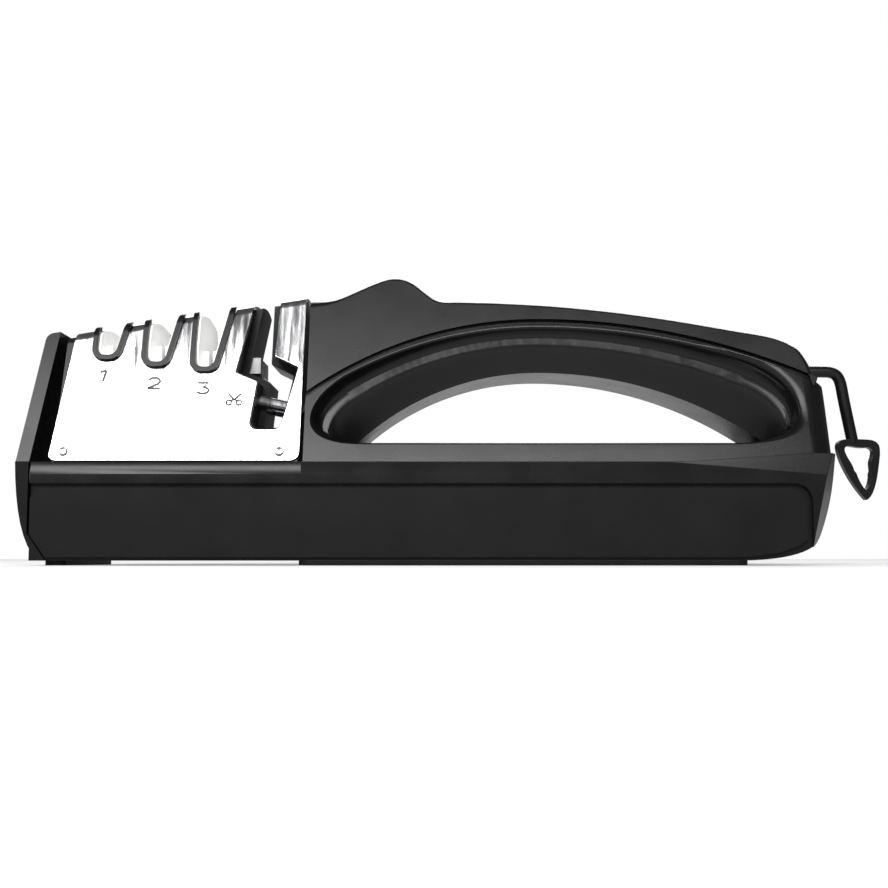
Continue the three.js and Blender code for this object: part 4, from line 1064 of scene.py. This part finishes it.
def digit_strokes(digit, x, z, w, h):
    """Plain round-cornered strokes of the digits 1 to 3 in a box with its lower left corner at x, z."""
    if digit == 1:
        return [[(x + w * 0.12, z + h * 0.86), (x + w * 0.45, z + h), (x + w * 0.62, z + h),
                 (x + w * 0.5, z + h * 0.5), (x + w * 0.38, z)]]
    if digit == 2:
        top = arc(x + w * 0.5, z + h * 0.66, w * 0.44, 165, -38, 12)
        top = [(px, z + h * 0.66 + (pz - z - h * 0.66) * h * 0.34 / (w * 0.44)) for px, pz in top]
        return [top + [(x + w * 0.2, z + h * 0.12), (x, z)], [(x, z), (x + w, z)]]
    upper = [(x + w * 0.1, z + h), (x + w * 0.92, z + h), (x + w * 0.5, z + h * 0.6)]
    lower = arc(x + w * 0.5, z + h * 0.3, w * 0.46, 88, -155, 14)
    lower = [(px, z + h * 0.3 + (pz - z - h * 0.3) * h * 0.3 / (w * 0.46)) for px, pz in lower]
    return [upper, lower]


def scissors_strokes(x, z, w, h):
    """A plain scissors pictogram: two crossed blades and two finger rings."""
    ring = w * 0.17
    left, right = (x + ring, z + ring), (x + w - ring, z + ring)
    return [
        [(left[0] + ring * 0.6, left[1] + ring * 0.8), (x + w * 0.52, z + h * 0.5), (x + w * 0.95, z + h)],
        [(right[0] - ring * 0.6, right[1] + ring * 0.8), (x + w * 0.48, z + h * 0.5), (x + w * 0.1, z + h)],
        arc(left[0], left[1], ring, 0, 350, 14), arc(right[0], right[1], ring, 0, 350, 14),
    ]


MARK_HEIGHT = 2.9
MARK_WIDTH = 3.3
MARK_DROP = 7.3
DIGIT_STROKE = 0.58
PICTOGRAM_WIDTH = 3.9
PICTOGRAM_HEIGHT = 3.1
PICTOGRAM_STROKE = 0.5
PICTOGRAM_LEFT = SCISSOR_MIDDLE - 10.6
PICTOGRAM_FOOT = 40.9
for side in (1, -1):
    end = "left" if side == 1 else "right"
    for index, (grit, floor_z) in enumerate(SLOTS):
        x = slot_centers[grit] - MARK_WIDTH * 0.5
        strokes = digit_strokes(index + 1, x, floor_z - MARK_DROP, MARK_WIDTH, MARK_HEIGHT)
        if side == -1:
            # Turned round for the far face, so that it reads the right way from there
            strokes = [[(2 * slot_centers[grit] - px, pz) for px, pz in stroke] for stroke in strokes]
        digit = mark(f"digit_{index + 1}_{end}", strokes, DIGIT_STROKE, side)
        finish_piece(digit, "steel", "body", look="etched")
    strokes = scissors_strokes(PICTOGRAM_LEFT, PICTOGRAM_FOOT, PICTOGRAM_WIDTH, PICTOGRAM_HEIGHT)
    pictogram = mark(f"scissors_mark_{end}", strokes, PICTOGRAM_STROKE, side)
    finish_piece(pictogram, "steel", "body", look="etched")


# ---------------------------------------------------------------- floor, light and camera
def softbox(name, place, target, width, height, radiance):
    """A rectangular area light of even brightness."""
    data = bpy.data.lights.new(name, "AREA")
    data.shape = "RECTANGLE"
    data.size = width
    data.size_y = height
    data.energy = radiance * math.pi * width * height
    light = bpy.data.objects.new(name, data)
    light.location = place
    light.rotation_euler = (Vector(target) - Vector(place)).to_track_quat("-Z", "Y").to_euler()
    bpy.context.scene.collection.objects.link(light)
    return light


CENTRE = (0, 0, 0.045)
FILL_STRENGTH = 0.12
BACKDROP_STRENGTH = 1.0
softbox("front_box", (-0.14, -0.69, 0.445), CENTRE, 0.9, 0.28, 19)
softbox("back_box", (0.1, 0.75, 0.55), CENTRE, 1.0, 0.4, 4.5)
softbox("left_box", (-0.9, 0.05, 0.3), CENTRE, 0.4, 0.5, 3.0)

world = bpy.data.worlds.new("studio")
world.use_nodes = True
bpy.context.scene.world = world
background = world.node_tree.nodes["Background"]
background.inputs["Color"].default_value = (1, 1, 1, 1)
background.inputs["Strength"].default_value = FILL_STRENGTH
seen = world.node_tree.nodes.new("ShaderNodeBackground")
seen.inputs["Color"].default_value = (1, 1, 1, 1)
seen.inputs["Strength"].default_value = BACKDROP_STRENGTH
choose = world.node_tree.nodes.new("ShaderNodeMixShader")
rays = world.node_tree.nodes.new("ShaderNodeLightPath")
world.node_tree.links.new(rays.outputs["Is Camera Ray"], choose.inputs["Fac"])
world.node_tree.links.new(background.outputs["Background"], choose.inputs[1])
world.node_tree.links.new(seen.outputs["Background"], choose.inputs[2])
world.node_tree.links.new(choose.outputs["Shader"], world.node_tree.nodes["World Output"].inputs["Surface"])

floor = prism("floor", [(-900, -700), (900, -700), (900, 900), (-900, 900)], "z", -4, -0.02)
floor_look, _, floor_shader = node_material("floor", (0.55, 0.55, 0.55), 0.8, specular=0.2)
floor_shader.inputs["Emission Color"].default_value = (1, 1, 1, 1)
floor_shader.inputs["Emission Strength"].default_value = 0.2
floor.data.materials.append(floor_look)

CAMERA_LENS = 48.65
CAMERA_TILT = 5.4
CAMERA_PLACE = (4.1, -325, 2)
camera_data = bpy.data.cameras.new("camera")
camera_data.lens = CAMERA_LENS
camera_data.sensor_width = 36
camera_data.clip_start = 0.001
camera_data.clip_end = 20
camera = bpy.data.objects.new("camera", camera_data)
camera.location = tuple(c * MM for c in CAMERA_PLACE)
camera.rotation_euler = (math.radians(90 + CAMERA_TILT), 0, 0)
bpy.context.scene.collection.objects.link(camera)
bpy.context.scene.camera = camera
bpy.context.scene.view_settings.view_transform = "Standard"
